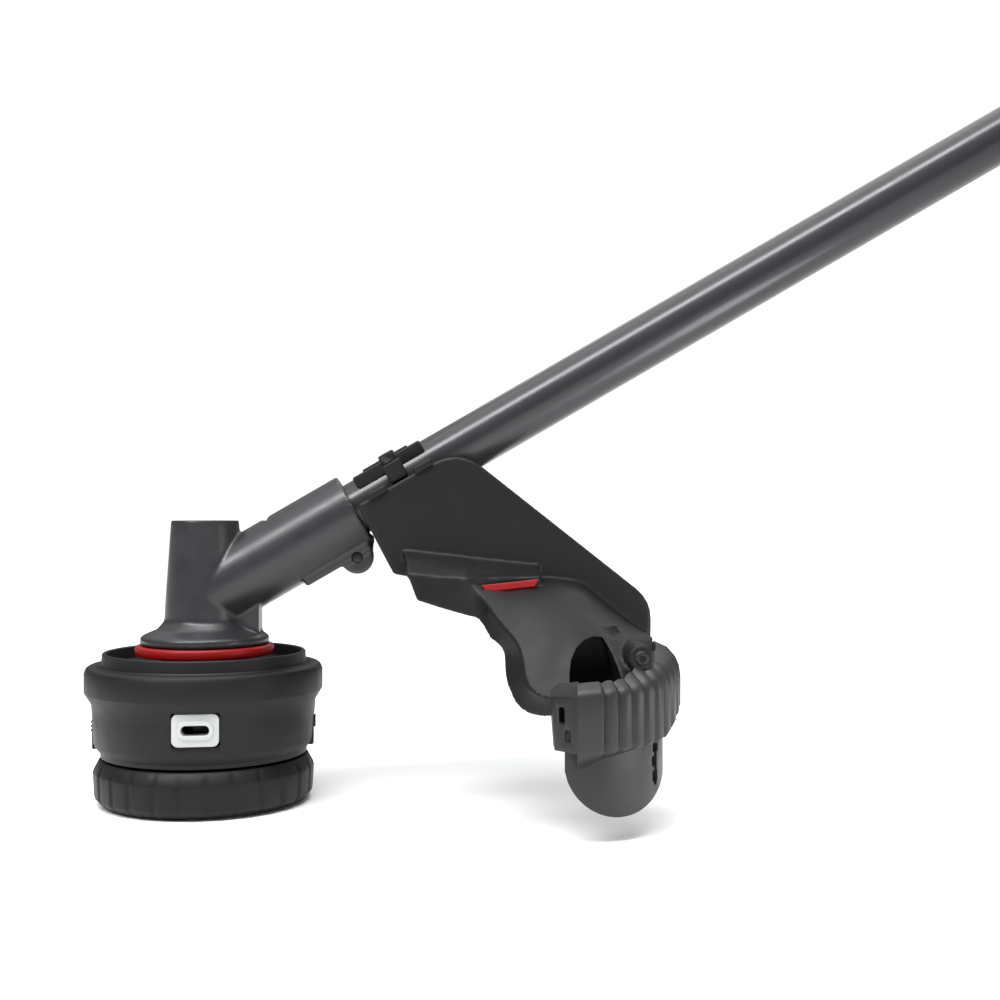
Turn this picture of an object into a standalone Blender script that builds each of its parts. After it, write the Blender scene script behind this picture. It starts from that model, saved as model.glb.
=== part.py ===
"""String trimmer, modelled in metres with +Z up.

The frame's origin is the centre of the bump knob's flat face, on the line that the cutting head
spins about (+Z).  The shaft rises towards +X, 30.25 degrees above the horizontal.  Pieces that sit on
the shaft are children of the empty "shaft_frame": there, X runs up the shaft from the point where
its line crosses the spin axis, Y is the frame's Y, and Z stands square to the shaft.
"""

import math

import bmesh
import bpy
from mathutils import Matrix, Vector

# ---- driving dimensions, in metres and degrees -------------------------------------------------

SHAFT_RISE = 30.25  # degrees above the horizontal
APEX_Z = 0.095  # height where the shaft's line crosses the spin axis
TUBE_R = 0.0127
TUBE_WALL = 0.0015
TUBE_START = 0.032
TUBE_END = 1.378
DRIVE_R = 0.004
GAP = 0.0003  # running gap and fitting gap between pieces

HEAD_SIDES = 40
BODY_SIDES = 28
FINE_SIDES = 24
SMALL_SIDES = 14

SPINDLE_R = 0.005
SPINDLE_TOP_R = 0.004
BEARING_R = 0.0127
SMALL_BEARING_R = 0.0092
SOCKET_R = 0.0175
SOCKET_END = 0.082
LUG_X, LUG_Z, LUG_R = 0.0716, 0.1136, 0.0072

PINION_TEETH = 12
GEAR_TEETH = 17
PITCH_FAR = 0.0185  # distance from the apex to the wide end of the teeth
PITCH_NEAR = 0.0145
TOOTH_GAP = 0.0003
TOOTH_DEPTH = 0.001
GEAR_RATIO = GEAR_TEETH / PINION_TEETH
CONE_SUM = 90.0 - SHAFT_RISE  # the two pitch cones fill the angle between shaft and spindle
PINION_CONE = math.degrees(
    math.atan2(math.sin(math.radians(CONE_SUM)), GEAR_RATIO + math.cos(math.radians(CONE_SUM)))
)
GEAR_CONE = CONE_SUM - PINION_CONE

EYELET_WIDTH, EYELET_HEIGHT, EYELET_Z = 0.0207, 0.0147, 0.040
LATCH_WIDTH, LATCH_LOW, LATCH_HIGH = 0.015, 0.025, 0.039
HEAD_TURN = 2.6  # degrees that the eyelets and latches are turned from the guard's axes at rest

CLAMP_START, CLAMP_END = 0.088, 0.124
CLAMP_HALF_WIDTH = 0.0215
CLAMP_SCREW_S, CLAMP_SCREW_Y = 0.107, 0.0172
SPINE_HALF_WIDTH = 0.025
GUARD_WALL = 0.003
CORNER_X, CORNER_Y = 0.1655, -0.065  # upright axis of the guard's rounded rear corner
RIB_R, GROOVE_R, BUMPER_INNER_R = 0.047, 0.0453, 0.0400
SKIRT_R, SKIRT_INNER_R = 0.0394, 0.0364
RIB_PITCH = 7.7  # degrees round the corner
BUMPER_START = -16.0
RIBS = 14
BOSS_X, BOSS_Z = 0.190, 0.0755

HANDLE_S = 0.86
HANDLE_HALF_LENGTH = 0.018
HANDLE_BAR_R = 0.0105
GRIP_START, GRIP_END = 1.190, 1.372
BAY_START, BAY_END = 1.365, 1.520
GRIP_LOW, GRIP_HIGH, GRIP_HALF_WIDTH = -0.024, 0.020, 0.019
BAY_LOW, BAY_HIGH, BAY_HALF_WIDTH = -0.052, 0.046, 0.045
WALL = 0.003
TRIGGER_S, TRIGGER_N = 1.330, -0.018
LOCK_START, LOCK_END = 1.288, 1.318
SPEED_S = 1.410
BATTERY_START, BATTERY_END = 1.5205, 1.600
STATOR_R, STATOR_INNER_R, ROTOR_R = 0.030, 0.0205, 0.020
MOTOR_START, MOTOR_END = 1.395, 1.440

BLACK = (0.020, 0.020, 0.021)
COLOURS = {  # name: (colour, metallic, roughness)
    "black_plastic": (BLACK, 0.0, 0.55),
    "grey_plastic": ((0.045, 0.045, 0.047), 0.0, 0.5),
    "red_plastic": ((0.42, 0.010, 0.010), 0.0, 0.4),
    "white_plastic": ((0.80, 0.80, 0.78), 0.0, 0.35),
    "painted_tube": ((0.06, 0.06, 0.062), 0.3, 0.38),
    "cast_case": ((0.03, 0.03, 0.031), 0.2, 0.45),
    "steel": ((0.45, 0.45, 0.46), 1.0, 0.35),
    "rubber": ((0.018, 0.018, 0.018), 0.0, 0.8),
    "line": ((0.55, 0.06, 0.02), 0.0, 0.4),
    "copper": ((0.62, 0.30, 0.16), 1.0, 0.4),
    "board": ((0.02, 0.16, 0.06), 0.0, 0.5),
}


# ---- making and joining ------------------------------------------------------------------------


def clear_scene():
    for item in list(bpy.data.objects):
        bpy.data.objects.remove(item)


def material(name):
    found = bpy.data.materials.get(name)
    if found:
        return found
    colour, metallic, roughness = COLOURS[name]
    made = bpy.data.materials.new(name)
    made.use_nodes = True
    shader = made.node_tree.nodes["Principled BSDF"]
    shader.inputs["Base Color"].default_value = (*colour, 1.0)
    shader.inputs["Metallic"].default_value = metallic
    shader.inputs["Roughness"].default_value = roughness
    return made


def finish(name, shape, finish_name=None, parent=None, smooth=True):
    """Turn a bmesh into a named object, or into a hidden helper when it has no finish."""
    mesh = bpy.data.meshes.new(name)
    bmesh.ops.recalc_face_normals(shape, faces=shape.faces)
    shape.to_mesh(mesh)
    shape.free()
    if smooth:
        mesh.shade_smooth()
        mesh.set_sharp_from_angle(angle=math.radians(32))
    item = bpy.data.objects.new(name, mesh)
    bpy.context.collection.objects.link(item)
    item.parent = parent
    if finish_name:
        mesh.materials.append(material(finish_name))
    else:
        item.hide_render = True
        item.display_type = "WIRE"
    return item


def turned(profile, axis="Z", sides=FINE_SIDES, centre=(0.0, 0.0, 0.0)):
    """Spin (radius, height) points about an axis.  A profile off the axis is closed into a ring."""
    shape = bmesh.new()
    corners = [shape.verts.new((radius, 0.0, height)) for radius, height in profile]
    edges = [shape.edges.new(pair) for pair in zip(corners, corners[1:])]
    if profile[0][0] > 0.0:
        edges.append(shape.edges.new((corners[-1], corners[0])))
    bmesh.ops.spin(
        shape,
        geom=corners + edges,
        axis=(0, 0, 1),
        cent=(0, 0, 0),
        steps=sides,
        angle=math.tau,
    )
    bmesh.ops.remove_doubles(shape, verts=shape.verts, dist=1e-6)
    turns = {
        "Z": Matrix.Identity(4),
        "X": Matrix.Rotation(math.pi / 2, 4, "Y"),
        "Y": Matrix.Rotation(-math.pi / 2, 4, "X"),
    }
    bmesh.ops.transform(shape, verts=shape.verts, matrix=Matrix.Translation(centre) @ turns[axis])
    return shape


def rod(radius, low, high, axis="Z", sides=SMALL_SIDES, centre=(0.0, 0.0, 0.0)):
    return turned([(0, low), (radius, low), (radius, high), (0, high)], axis, sides, centre)


def ring(inner, outer, low, high, axis="Z", sides=FINE_SIDES):
    return turned([(inner, low), (outer, low), (outer, high), (inner, high)], axis, sides)


def block(low, high, bevel=0.0, segments=2):
    """A box between two corners, with its edges rounded by a bevel."""
    shape = bmesh.new()
    bmesh.ops.create_cube(shape, size=1.0)
    size = Vector(high) - Vector(low)
    centre = (Vector(high) + Vector(low)) / 2
    bmesh.ops.transform(
        shape, verts=shape.verts, matrix=Matrix.Translation(centre) @ Matrix.Diagonal((*size, 1.0))
    )
    if bevel:
        bmesh.ops.bevel(shape, geom=shape.edges, offset=bevel, segments=segments, profile=0.5,
                        affect="EDGES")
    return shape


def prism(outline, low, high, bevel=0.0):
    """Extrude an outline of (x, z) points along Y, from low to high."""
    shape = bmesh.new()
    corners = [shape.verts.new((x, low, z)) for x, z in outline]
    face = shape.faces.new(corners)
    grown = bmesh.ops.extrude_face_region(shape, geom=[face])
    moved = [item for item in grown["geom"] if isinstance(item, bmesh.types.BMVert)]
    bmesh.ops.translate(shape, verts=moved, vec=(0, high - low, 0))
    if bevel:
        bmesh.ops.bevel(shape, geom=shape.edges, offset=bevel, segments=2, profile=0.5,
                        affect="EDGES")
    return shape


def merged(*shapes):
    """Put several separate shapes into one bmesh, for a tool that cuts in several places."""
    whole = bmesh.new()
    for shape in shapes:
        mesh = bpy.data.meshes.new("merging")
        shape.to_mesh(mesh)
        shape.free()
        whole.from_mesh(mesh)
        bpy.data.meshes.remove(mesh)
    return whole


def combine(item, shape, operation, name):
    """Join a shape to an object, or cut it out of it, with a Boolean modifier."""
    helper = finish(name, shape, parent=item.parent, smooth=False)
    boolean = item.modifiers.new(name, "BOOLEAN")
    boolean.operation = operation
    boolean.solver = "EXACT"
    boolean.object = helper
    return helper


def cut(item, shape, name):
    return combine(item, shape, "DIFFERENCE", name)


def join(item, shape, name):
    return combine(item, shape, "UNION", name)


def swept(points, radius, sides):
    """A round bar along a list of points, with flat ends."""
    shape = bmesh.new()
    points = [Vector(point) for point in points]
    side = Vector((0.0, 1.0, 0.0))
    rings = []
    for index, point in enumerate(points):
        before = points[max(index - 1, 0)]
        after = points[min(index + 1, len(points) - 1)]
        along = (after - before).normalized()
        side = (side - along * side.dot(along)).normalized()
        other = along.cross(side)
        angles = [math.tau * step / sides for step in range(sides)]
        rings.append([
            shape.verts.new(point + radius * (math.cos(a) * side + math.sin(a) * other))
            for a in angles
        ])
    for first, second in zip(rings, rings[1:]):
        for step in range(sides):
            following = (step + 1) % sides
            shape.faces.new((first[step], first[following], second[following], second[step]))
    shape.faces.new(rings[0])
    shape.faces.new(rings[-1])
    return shape


def stacked(loops, closed):
    """Join loops of equal length into a body.  A closed stack is a ring; an open one gets ends."""
    shape = bmesh.new()
    rows = [[shape.verts.new(point) for point in loop] for loop in loops]
    count = len(rows[0])
    pairs = list(zip(rows, rows[1:]))
    if closed:
        pairs.append((rows[-1], rows[0]))
    for first, second in pairs:
        for step in range(count):
            following = (step + 1) % count
            shape.faces.new((first[step], first[following], second[following], second[step]))
    if not closed:
        shape.faces.new(rows[0])
        shape.faces.new(rows[-1])
    return shape


# ---- cutting head ------------------------------------------------------------------------------


def make_spool_housing(head):
    profile = [
        (0.0053, 0.0655), (0.0200, 0.0655), (0.0210, 0.0625), (0.0430, 0.0625),
        (0.0450, 0.0688), (0.0483, 0.0690), (0.0478, 0.0632), (0.0535, 0.0625),
        (0.0550, 0.0612), (0.0550, 0.0518), (0.0516, 0.0465), (0.0507, 0.0290),
        (0.0500, 0.0265), (0.0478, 0.0238), (0.0478, 0.0222), (0.0450, 0.0222),
        (0.0450, 0.0585),
        (0.0110, 0.0585), (0.0110, 0.0520), (0.0053, 0.0520),
    ]
    housing = finish("spool_housing", turned(profile, sides=HEAD_SIDES), "black_plastic", head)
    half_width = EYELET_WIDTH / 2 + GAP
    half_height = EYELET_HEIGHT / 2 + GAP
    half_latch = LATCH_WIDTH / 2 + GAP
    windows = []
    for side in (-1, 1):
        near, far = sorted((side * 0.040, side * 0.060))
        windows.append(block((-half_width, near, EYELET_Z - half_height),
                             (half_width, far, EYELET_Z + half_height)))
        windows.append(block((near, -half_latch, LATCH_LOW - GAP),
                             (far, half_latch, LATCH_HIGH + GAP)))
    cut(housing, merged(*windows), "housing_windows")


def make_eyelets(head):
    for name, side in (("eyelet_front", -1), ("eyelet_rear", 1)):
        near, far = sorted((side * 0.0448, side * 0.0520))
        shape = block((-EYELET_WIDTH / 2, near, EYELET_Z - EYELET_HEIGHT / 2),
                      (EYELET_WIDTH / 2, far, EYELET_Z + EYELET_HEIGHT / 2), bevel=0.0016)
        eyelet = finish(name, shape, "white_plastic", head)
        slot = block((-0.006, -0.06, EYELET_Z - 0.002), (0.006, 0.06, EYELET_Z + 0.002))
        cut(eyelet, slot, name + "_slot")


def make_latch_tabs(head):
    for name, side in (("latch_tab_rear", 1), ("latch_tab_front", -1)):
        near, far = sorted((side * 0.0455, side * 0.0516))
        shape = block((near, -LATCH_WIDTH / 2, LATCH_LOW), (far, LATCH_WIDTH / 2, LATCH_HIGH),
                      bevel=0.0008)
        finish(name, shape, "black_plastic", head)


def make_bump_cap():
    profile = [
        (0.0325, 0.0005), (0.0465, 0.0005), (0.0500, 0.0040), (0.0509, 0.0155),
        (0.0480, 0.0210), (0.0445, 0.0210), (0.0445, 0.0090), (0.0325, 0.0090),
    ]
    finish("bump_cap", turned(profile, sides=HEAD_SIDES), "black_plastic")


def make_bump_knob():
    profile = [
        (0.0, 0.0), (0.0300, 0.0), (0.0318, 0.0020), (0.0318, 0.0093), (0.0360, 0.0095),
        (0.0360, 0.0115), (0.0240, 0.0115), (0.0240, 0.0296), (0.0200, 0.0296),
        (0.0200, 0.0040), (0.0, 0.0040),
    ]
    finish("bump_knob", turned(profile, sides=BODY_SIDES), "black_plastic")


def make_spool():
    profile = [
        (0.0060, 0.0300), (0.0425, 0.0300), (0.0425, 0.0330), (0.0165, 0.0330),
        (0.0165, 0.0490), (0.0425, 0.0490), (0.0425, 0.0515), (0.0150, 0.0515),
        (0.0150, 0.0360), (0.0060, 0.0360),
    ]
    finish("spool", turned(profile, sides=BODY_SIDES), "grey_plastic")
    finish("wound_line", ring(0.0168, 0.0390, 0.0333, 0.0487), "line")


def make_spool_spring():
    turns, wire, radius, low, high = 4, 0.0008, 0.0132, 0.0371, 0.0574
    steps = turns * 10
    points = []
    for step in range(steps + 1):
        angle = math.tau * turns * step / steps
        height = low + (high - low) * step / steps
        points.append((radius * math.cos(angle), radius * math.sin(angle), height))
    finish("spool_spring", swept(points, wire, 5), "steel")


def make_spindle():
    profile = [
        (0.0, 0.0430), (SPINDLE_R, 0.0430), (SPINDLE_R, 0.0985), (SPINDLE_TOP_R, 0.0985),
        (SPINDLE_TOP_R, 0.1185), (0.0, 0.1185),
    ]
    finish("spindle", turned(profile, sides=SMALL_SIDES), "steel")
    corners = [(0.0086 * math.cos(math.tau * k / 6), 0.0086 * math.sin(math.tau * k / 6))
               for k in range(6)]
    shape = bmesh.new()
    face = shape.faces.new([shape.verts.new((x, y, 0.0460)) for x, y in corners])
    grown = bmesh.ops.extrude_face_region(shape, geom=[face])
    moved = [item for item in grown["geom"] if isinstance(item, bmesh.types.BMVert)]
    bmesh.ops.translate(shape, verts=moved, vec=(0, 0, 0.0055))
    nut = finish("head_nut", shape, "steel", smooth=False)
    cut(nut, rod(SPINDLE_R + GAP, 0.04, 0.06), "head_nut_bore")


def gear_loops(teeth, bore, far, near):
    """Loops of a bevel gear about Z: far and near are (radius, height) of the tooth tips."""
    def toothed(radius, height):
        points = []
        for tooth in range(teeth):
            for part, depth in ((0.0, TOOTH_DEPTH), (0.25, TOOTH_DEPTH), (0.4, 0.0), (0.7, 0.0)):
                angle = math.tau * (tooth + part) / teeth
                points.append(((radius - depth) * math.cos(angle),
                               (radius - depth) * math.sin(angle), height))
        return points

    def plain(radius, height):
        count = 4 * teeth
        return [(radius * math.cos(math.tau * k / count), radius * math.sin(math.tau * k / count),
                 height) for k in range(count)]

    return [toothed(*near), toothed(*far), plain(bore, far[1]), plain(bore, near[1])]


def cone_point(distance, half_angle):
    """Radius and height of the tooth tips, a little inside the pitch cone so they run clear."""
    slope = math.radians(half_angle)
    return distance * math.sin(slope) - TOOTH_GAP, distance * math.cos(slope) + TOOTH_GAP


def make_gears(shaft):
    far = cone_point(PITCH_FAR, GEAR_CONE)
    near = cone_point(PITCH_NEAR, GEAR_CONE)
    shape = stacked(gear_loops(GEAR_TEETH, SPINDLE_TOP_R + GAP, far, near), True)
    bmesh.ops.translate(shape, verts=shape.verts, vec=(0, 0, APEX_Z))
    finish("bevel_gear", shape, "steel", smooth=False)
    far = cone_point(PITCH_FAR, PINION_CONE)
    near = cone_point(PITCH_NEAR, PINION_CONE)
    shape = stacked(gear_loops(PINION_TEETH, DRIVE_R + GAP, far, near), True)
    bmesh.ops.transform(shape, verts=shape.verts, matrix=Matrix.Rotation(math.pi / 2, 4, "Y"))
    finish("pinion_gear", shape, "steel", parent=shaft, smooth=False)


def make_bearings(shaft):
    finish("lower_bearing", ring(SPINDLE_R + GAP, BEARING_R, 0.0738, 0.0825), "steel")
    finish("upper_bearing", ring(SPINDLE_TOP_R + GAP, SMALL_BEARING_R, 0.1132, 0.1185), "steel")
    finish("pinion_bearing",
           ring(DRIVE_R + GAP, SMALL_BEARING_R, 0.0210, 0.0280, "X"), "steel", shaft)


# ---- gear case ---------------------------------------------------------------------------------


def make_gear_case(shaft):
    profile = [
        (0.0, 0.0730), (0.0295, 0.0730), (0.0295, 0.0765), (0.0187, 0.0835),
        (0.0183, 0.0920), (0.0153, 0.1290), (0.0143, 0.1300), (0.0, 0.1300),
    ]
    case = finish("gear_case", turned(profile, sides=BODY_SIDES), "cast_case")
    socket = finish("case_socket", rod(SOCKET_R, 0.004, SOCKET_END, "X", BODY_SIDES), parent=shaft)
    union = case.modifiers.new("socket", "BOOLEAN")
    union.operation = "UNION"
    union.object = socket
    heel = prism([(0.004, 0.0745), (0.0255, 0.0745), (0.0255, 0.0945), (0.004, 0.0945)],
                 -0.0085, 0.0085, bevel=0.002)
    join(case, heel, "case_heel")
    web = prism([(0.0500, 0.1090), (0.0655, 0.1085), (0.0716, 0.1075), (0.0780, 0.1120),
                 (0.0790, 0.1240), (0.0500, 0.1150)], -0.0060, 0.0060)
    join(case, web, "case_web")
    lug = rod(LUG_R, -0.0075, 0.0075, "Y", 16, (LUG_X, 0.0, LUG_Z))
    join(case, lug, "case_lug")
    cavity = turned([(0.0, 0.0650), (0.0130, 0.0650), (0.0130, 0.1127), (0.0095, 0.1127),
                     (0.0095, 0.1195), (0.0, 0.1195)], sides=FINE_SIDES)
    cut(case, cavity, "spindle_cavity")
    bore = finish("shaft_bore", turned([
        (0.0, 0.002), (0.0095, 0.002), (0.0095, TUBE_START - 0.001),
        (TUBE_R + GAP, TUBE_START - 0.001),
        (TUBE_R + GAP, 0.100), (0.0, 0.100)], "X"), parent=shaft)
    drill = case.modifiers.new("shaft_bore", "BOOLEAN")
    drill.operation = "DIFFERENCE"
    drill.object = bore
    cut(case, rod(0.0027, -0.02, 0.02, "Y", 16, (LUG_X, 0.0, LUG_Z)), "lug_hole")


def make_case_bolt():
    bolt = [(0.0, -0.0110), (0.0042, -0.0110), (0.0045, -0.0105), (0.0045, -0.0078),
            (0.0024, -0.0078), (0.0024, 0.0078), (0.0, 0.0078)]
    finish("case_clamp_bolt", turned(bolt, "Y", SMALL_SIDES, (LUG_X, 0.0, LUG_Z)), "steel")


def make_collar():
    profile = [(0.0058, 0.0680), (0.0315, 0.0680), (0.0321, 0.0687), (0.0321, 0.0720),
               (0.0314, 0.0727), (0.0058, 0.0727)]
    finish("anti_wrap_collar", turned(profile, sides=BODY_SIDES), "red_plastic")


# ---- shaft -------------------------------------------------------------------------------------


def make_shaft(shaft):
    inner = TUBE_R - TUBE_WALL
    finish("shaft_tube", ring(inner, TUBE_R, TUBE_START, TUBE_END, "X"), "painted_tube", shaft)
    for number, start in enumerate((0.30, 0.72, 1.14), 1):
        bush = ring(DRIVE_R + GAP, inner - GAP, start, start + 0.03, "X", SMALL_SIDES)
        finish(f"shaft_bush_{number}", bush, "rubber", shaft)
    finish("drive_shaft", rod(DRIVE_R, 0.0115, 1.471, "X"), "steel", shaft)


# ---- guard -------------------------------------------------------------------------------------


def make_guard_clamp(shaft):
    top = block((CLAMP_START, -CLAMP_HALF_WIDTH, 0.0080),
                (CLAMP_END, CLAMP_HALF_WIDTH, 0.0148), bevel=0.0012)
    clamp = finish("guard_clamp", top, "black_plastic", shaft)
    strap = block((0.100, -CLAMP_HALF_WIDTH, 0.0012), (0.114, CLAMP_HALF_WIDTH, 0.0140))
    join(clamp, strap, "clamp_strap")
    cut(clamp, rod(TUBE_R + GAP, 0.05, 0.20, "X", FINE_SIDES), "clamp_seat")
    holes = [rod(0.0023, -0.03, 0.03, "Z", 16, (CLAMP_SCREW_S, side * CLAMP_SCREW_Y, 0.0))
             for side in (-1, 1)]
    cut(clamp, merged(*holes), "clamp_holes")
    for name, side in (("guard_clamp_screw_left", -1), ("guard_clamp_screw_right", 1)):
        profile = [(0.0, -0.0110), (0.0020, -0.0110), (0.0020, 0.0153), (0.0036, 0.0153),
                   (0.0036, 0.0172), (0.0030, 0.0182), (0.0, 0.0182)]
        screw = turned(profile, "Z", 16, (CLAMP_SCREW_S, side * CLAMP_SCREW_Y, 0.0))
        finish(name, screw, "steel", shaft)


def wing_rows():
    """Rows of points over the near wing, from the spine down to the hem."""
    def corner(angle, height):
        turn = math.radians(angle)
        radius = SKIRT_R - 0.0006
        return (CORNER_X + radius * math.sin(turn), CORNER_Y - radius * math.cos(turn), height)

    spine_y = 0.0015 - SPINE_HALF_WIDTH
    hem = 0.0530
    return [
        [(0.094, spine_y, 0.1170), (0.110, spine_y, 0.1155), (0.126, spine_y, 0.1140),
         (0.138, spine_y, 0.1130), (0.150, spine_y, 0.1120), (0.163, spine_y, 0.1090),
         (0.176, spine_y, 0.1040), (0.190, spine_y, 0.0935), (0.202, spine_y, 0.0830)],
        [(0.094, -0.0400, 0.1070), (0.110, -0.0420, 0.1055), (0.126, -0.0430, 0.1045),
         (0.138, -0.0430, 0.1040), (0.150, -0.0420, 0.1038), (0.163, -0.0380, 0.1035),
         (0.176, -0.0340, 0.1020), (0.190, -0.0330, 0.0920), (0.203, -0.0320, 0.0800)],
        [(0.0945, -0.0460, 0.1060), (0.1105, -0.0480, 0.1025), (0.1255, -0.0500, 0.1015),
         (0.137, -0.0510, 0.1015), (0.150, -0.0500, 0.1020), (0.162, -0.0490, 0.1020),
         (0.175, -0.0480, 0.1000), (0.191, -0.0460, 0.0890), (0.204, -0.0440, 0.0760)],
        [(0.0955, -0.0520, 0.1040), (0.1110, -0.0560, 0.0995), (0.1250, -0.0600, 0.0965),
         (0.1345, -0.0640, 0.0925), (0.1430, -0.0720, 0.0880), (0.1500, -0.0800, 0.0860),
         (0.1610, -0.0860, 0.0830), (0.1840, -0.0850, 0.0800), (0.2030, -0.0640, 0.0720)],
        [(0.0970, -0.0570, 0.1010), (0.1110, -0.0620, 0.0965), (0.1240, -0.0665, 0.0930),
         (0.1325, -0.0710, 0.0870), (0.1375, -0.0800, 0.0790), (0.1425, -0.0900, 0.0700),
         corner(-26, 0.0660), corner(20, 0.0660), corner(70, 0.0660)],
        [(0.0990, -0.0600, 0.0970), (0.1120, -0.0660, 0.0935), (0.1240, -0.0700, 0.0900),
         (0.1305, -0.0760, 0.0815), (0.1345, -0.0860, 0.0705), (0.1385, -0.0955, 0.0575),
         corner(-26, hem), corner(20, hem), corner(70, hem)],
    ]


def wing(side, row_count):
    """One wing of the guard: a curved sheet given a wall thickness inwards."""
    shape = bmesh.new()
    rows = [[shape.verts.new((x, -side * y, z)) for x, y, z in row] for row in wing_rows()[:row_count]]
    for upper, lower in zip(rows, rows[1:]):
        for index in range(len(upper) - 1):
            face = (upper[index], lower[index], lower[index + 1], upper[index + 1])
            shape.faces.new(face if side < 0 else tuple(reversed(face)))
    bmesh.ops.triangulate(shape, faces=shape.faces)
    bmesh.ops.solidify(shape, geom=shape.faces[:], thickness=GUARD_WALL)
    return shape


def make_guard_shell(shaft):
    outline = [
        (0.0730, 0.1385), (0.0890, 0.1070), (0.0975, 0.1010), (0.1270, 0.0930),
        (0.1700, 0.0860), (0.1960, 0.0700), (0.2085, 0.0700), (0.2085, 0.0860),
        (0.2070, 0.0935), (0.2025, 0.1000), (0.1300, 0.1570), (0.1215, 0.1605),
        (0.1150, 0.1605), (0.1040, 0.1565),
    ]
    spine = prism(outline, -SPINE_HALF_WIDTH, SPINE_HALF_WIDTH)
    guard = finish("guard_shell", spine, "black_plastic")
    inner = SPINE_HALF_WIDTH - GUARD_WALL
    hollow = prism([(0.0863, 0.1170), (0.0917, 0.1084), (0.0917, 0.0500), (0.2050, 0.0500),
                    (0.2050, 0.0860), (0.2030, 0.0915), (0.1985, 0.0965), (0.1270, 0.1510),
                    (0.1230, 0.1385)], -inner, inner)
    cut(guard, hollow, "spine_hollow")
    join(guard, wing(-1, 6), "near_wing")
    join(guard, wing(1, 4), "far_wing")
    boss = rod(0.0055, -0.096, -0.070, "Y", 20, (BOSS_X, 0.0, BOSS_Z))
    join(guard, boss, "corner_boss")
    seat = finish("guard_seat", rod(TUBE_R + GAP, 0.05, 0.20, "X", FINE_SIDES), parent=shaft)
    notch = finish("clamp_notch", block((0.0, -CLAMP_HALF_WIDTH - GAP, -0.0010),
                                        (0.20, CLAMP_HALF_WIDTH + GAP, 0.03)), parent=shaft)
    holes = finish("guard_screw_holes", merged(*[
        rod(0.0023, -0.0125, 0.03, "Z", 16, (CLAMP_SCREW_S, side * CLAMP_SCREW_Y, 0.0))
        for side in (-1, 1)]), parent=shaft)
    for tool in (seat, notch, holes):
        opening = guard.modifiers.new(tool.name, "BOOLEAN")
        opening.operation = "DIFFERENCE"
        opening.object = tool


def corner_shell(angles, outer, inner, low, high):
    """A shell round the guard's rear corner; each argument after the angles is a function."""
    loops = []
    for angle in angles:
        turn = math.radians(angle)
        section = [(outer(angle), low(angle)), (outer(angle), high(angle)),
                   (inner(angle), high(angle)), (inner(angle), low(angle))]
        loops.append([(CORNER_X + radius * math.sin(turn), CORNER_Y - radius * math.cos(turn), z)
                      for radius, z in section])
    return stacked(loops, closed=False)


def make_guard_bumper():
    angles = []
    for rib in range(RIBS):
        start = BUMPER_START + RIB_PITCH * rib
        angles += [start, start + 0.3, start + 4.7, start + 5.0]

    def outer(angle):
        place = (angle - BUMPER_START) % RIB_PITCH
        return RIB_R if 0.2 < place < 4.9 else GROOVE_R

    def low(angle):
        return 0.037 + 0.013 * max(0.0, angle) / 90.0

    def high(angle):
        return 0.0620 + 0.0115 * min(max(0.0, angle - 10.0) / 60.0, 1.0)

    shape = corner_shell(angles, outer, lambda angle: BUMPER_INNER_R, low, high)
    finish("guard_bumper", shape, "grey_plastic", smooth=False)


def make_guard_skirt():
    angles = [-12.0 + 5.0 * step for step in range(22)]

    def low(angle):
        across = math.sin(math.radians(angle)) * SKIRT_R
        from_middle = min(abs(across - 0.0160) / 0.0245, 1.0)
        return 0.0335 - 0.0222 * math.sqrt(1.0 - from_middle ** 2)

    shape = corner_shell(angles, lambda angle: SKIRT_R, lambda angle: SKIRT_INNER_R, low,
                         lambda angle: 0.0500)
    skirt = finish("guard_skirt", shape, "grey_plastic")
    slot = block((0.030, -0.0013, 0.0220), (0.045, 0.0013, 0.0410))
    turn = Matrix.Translation((CORNER_X, CORNER_Y, 0)) @ Matrix.Rotation(math.radians(-28), 4, "Z")
    bmesh.ops.transform(slot, verts=slot.verts, matrix=turn)
    cut(skirt, slot, "skirt_slot")


def make_line_cutter():
    turn = Matrix.Translation((CORNER_X, CORNER_Y, 0)) @ Matrix.Rotation(math.radians(-28), 4, "Z")
    blade = block((0.0336, -0.006, 0.0200), (0.0348, 0.006, 0.0480))
    bmesh.ops.transform(blade, verts=blade.verts, matrix=turn)
    blade = finish("line_cutter", blade, "steel", smooth=False)
    hole = rod(0.0022, 0.025, 0.045, "X", 16, (0, 0, 0.0455))
    bmesh.ops.transform(hole, verts=hole.verts, matrix=turn)
    cut(blade, hole, "line_cutter_hole")
    screw = turned([(0.0, 0.0302), (0.0035, 0.0302), (0.0035, 0.0333), (0.0018, 0.0333),
                    (0.0018, 0.0358), (0.0, 0.0358)], "X", 16, (0, 0, 0.0455))
    bmesh.ops.transform(screw, verts=screw.verts, matrix=turn)
    finish("line_cutter_screw", screw, "steel")
    boss_screw = turned([(0.0, -0.0990), (0.0030, -0.0990), (0.0036, -0.0982),
                         (0.0036, -0.0963), (0.0, -0.0963)], "Y", 16, (BOSS_X, 0, BOSS_Z))
    finish("guard_corner_screw", boss_screw, "steel")


# ---- front handle ------------------------------------------------------------------------------


def loop_points():
    """Centre line of the looped handle, in the plane square to the shaft."""
    points = []
    for step in range(21):
        angle = math.radians(-62 + 304 * step / 20)
        points.append((HANDLE_S, 0.074 * math.cos(angle), 0.082 + 0.062 * math.sin(angle)))
    return points


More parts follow.
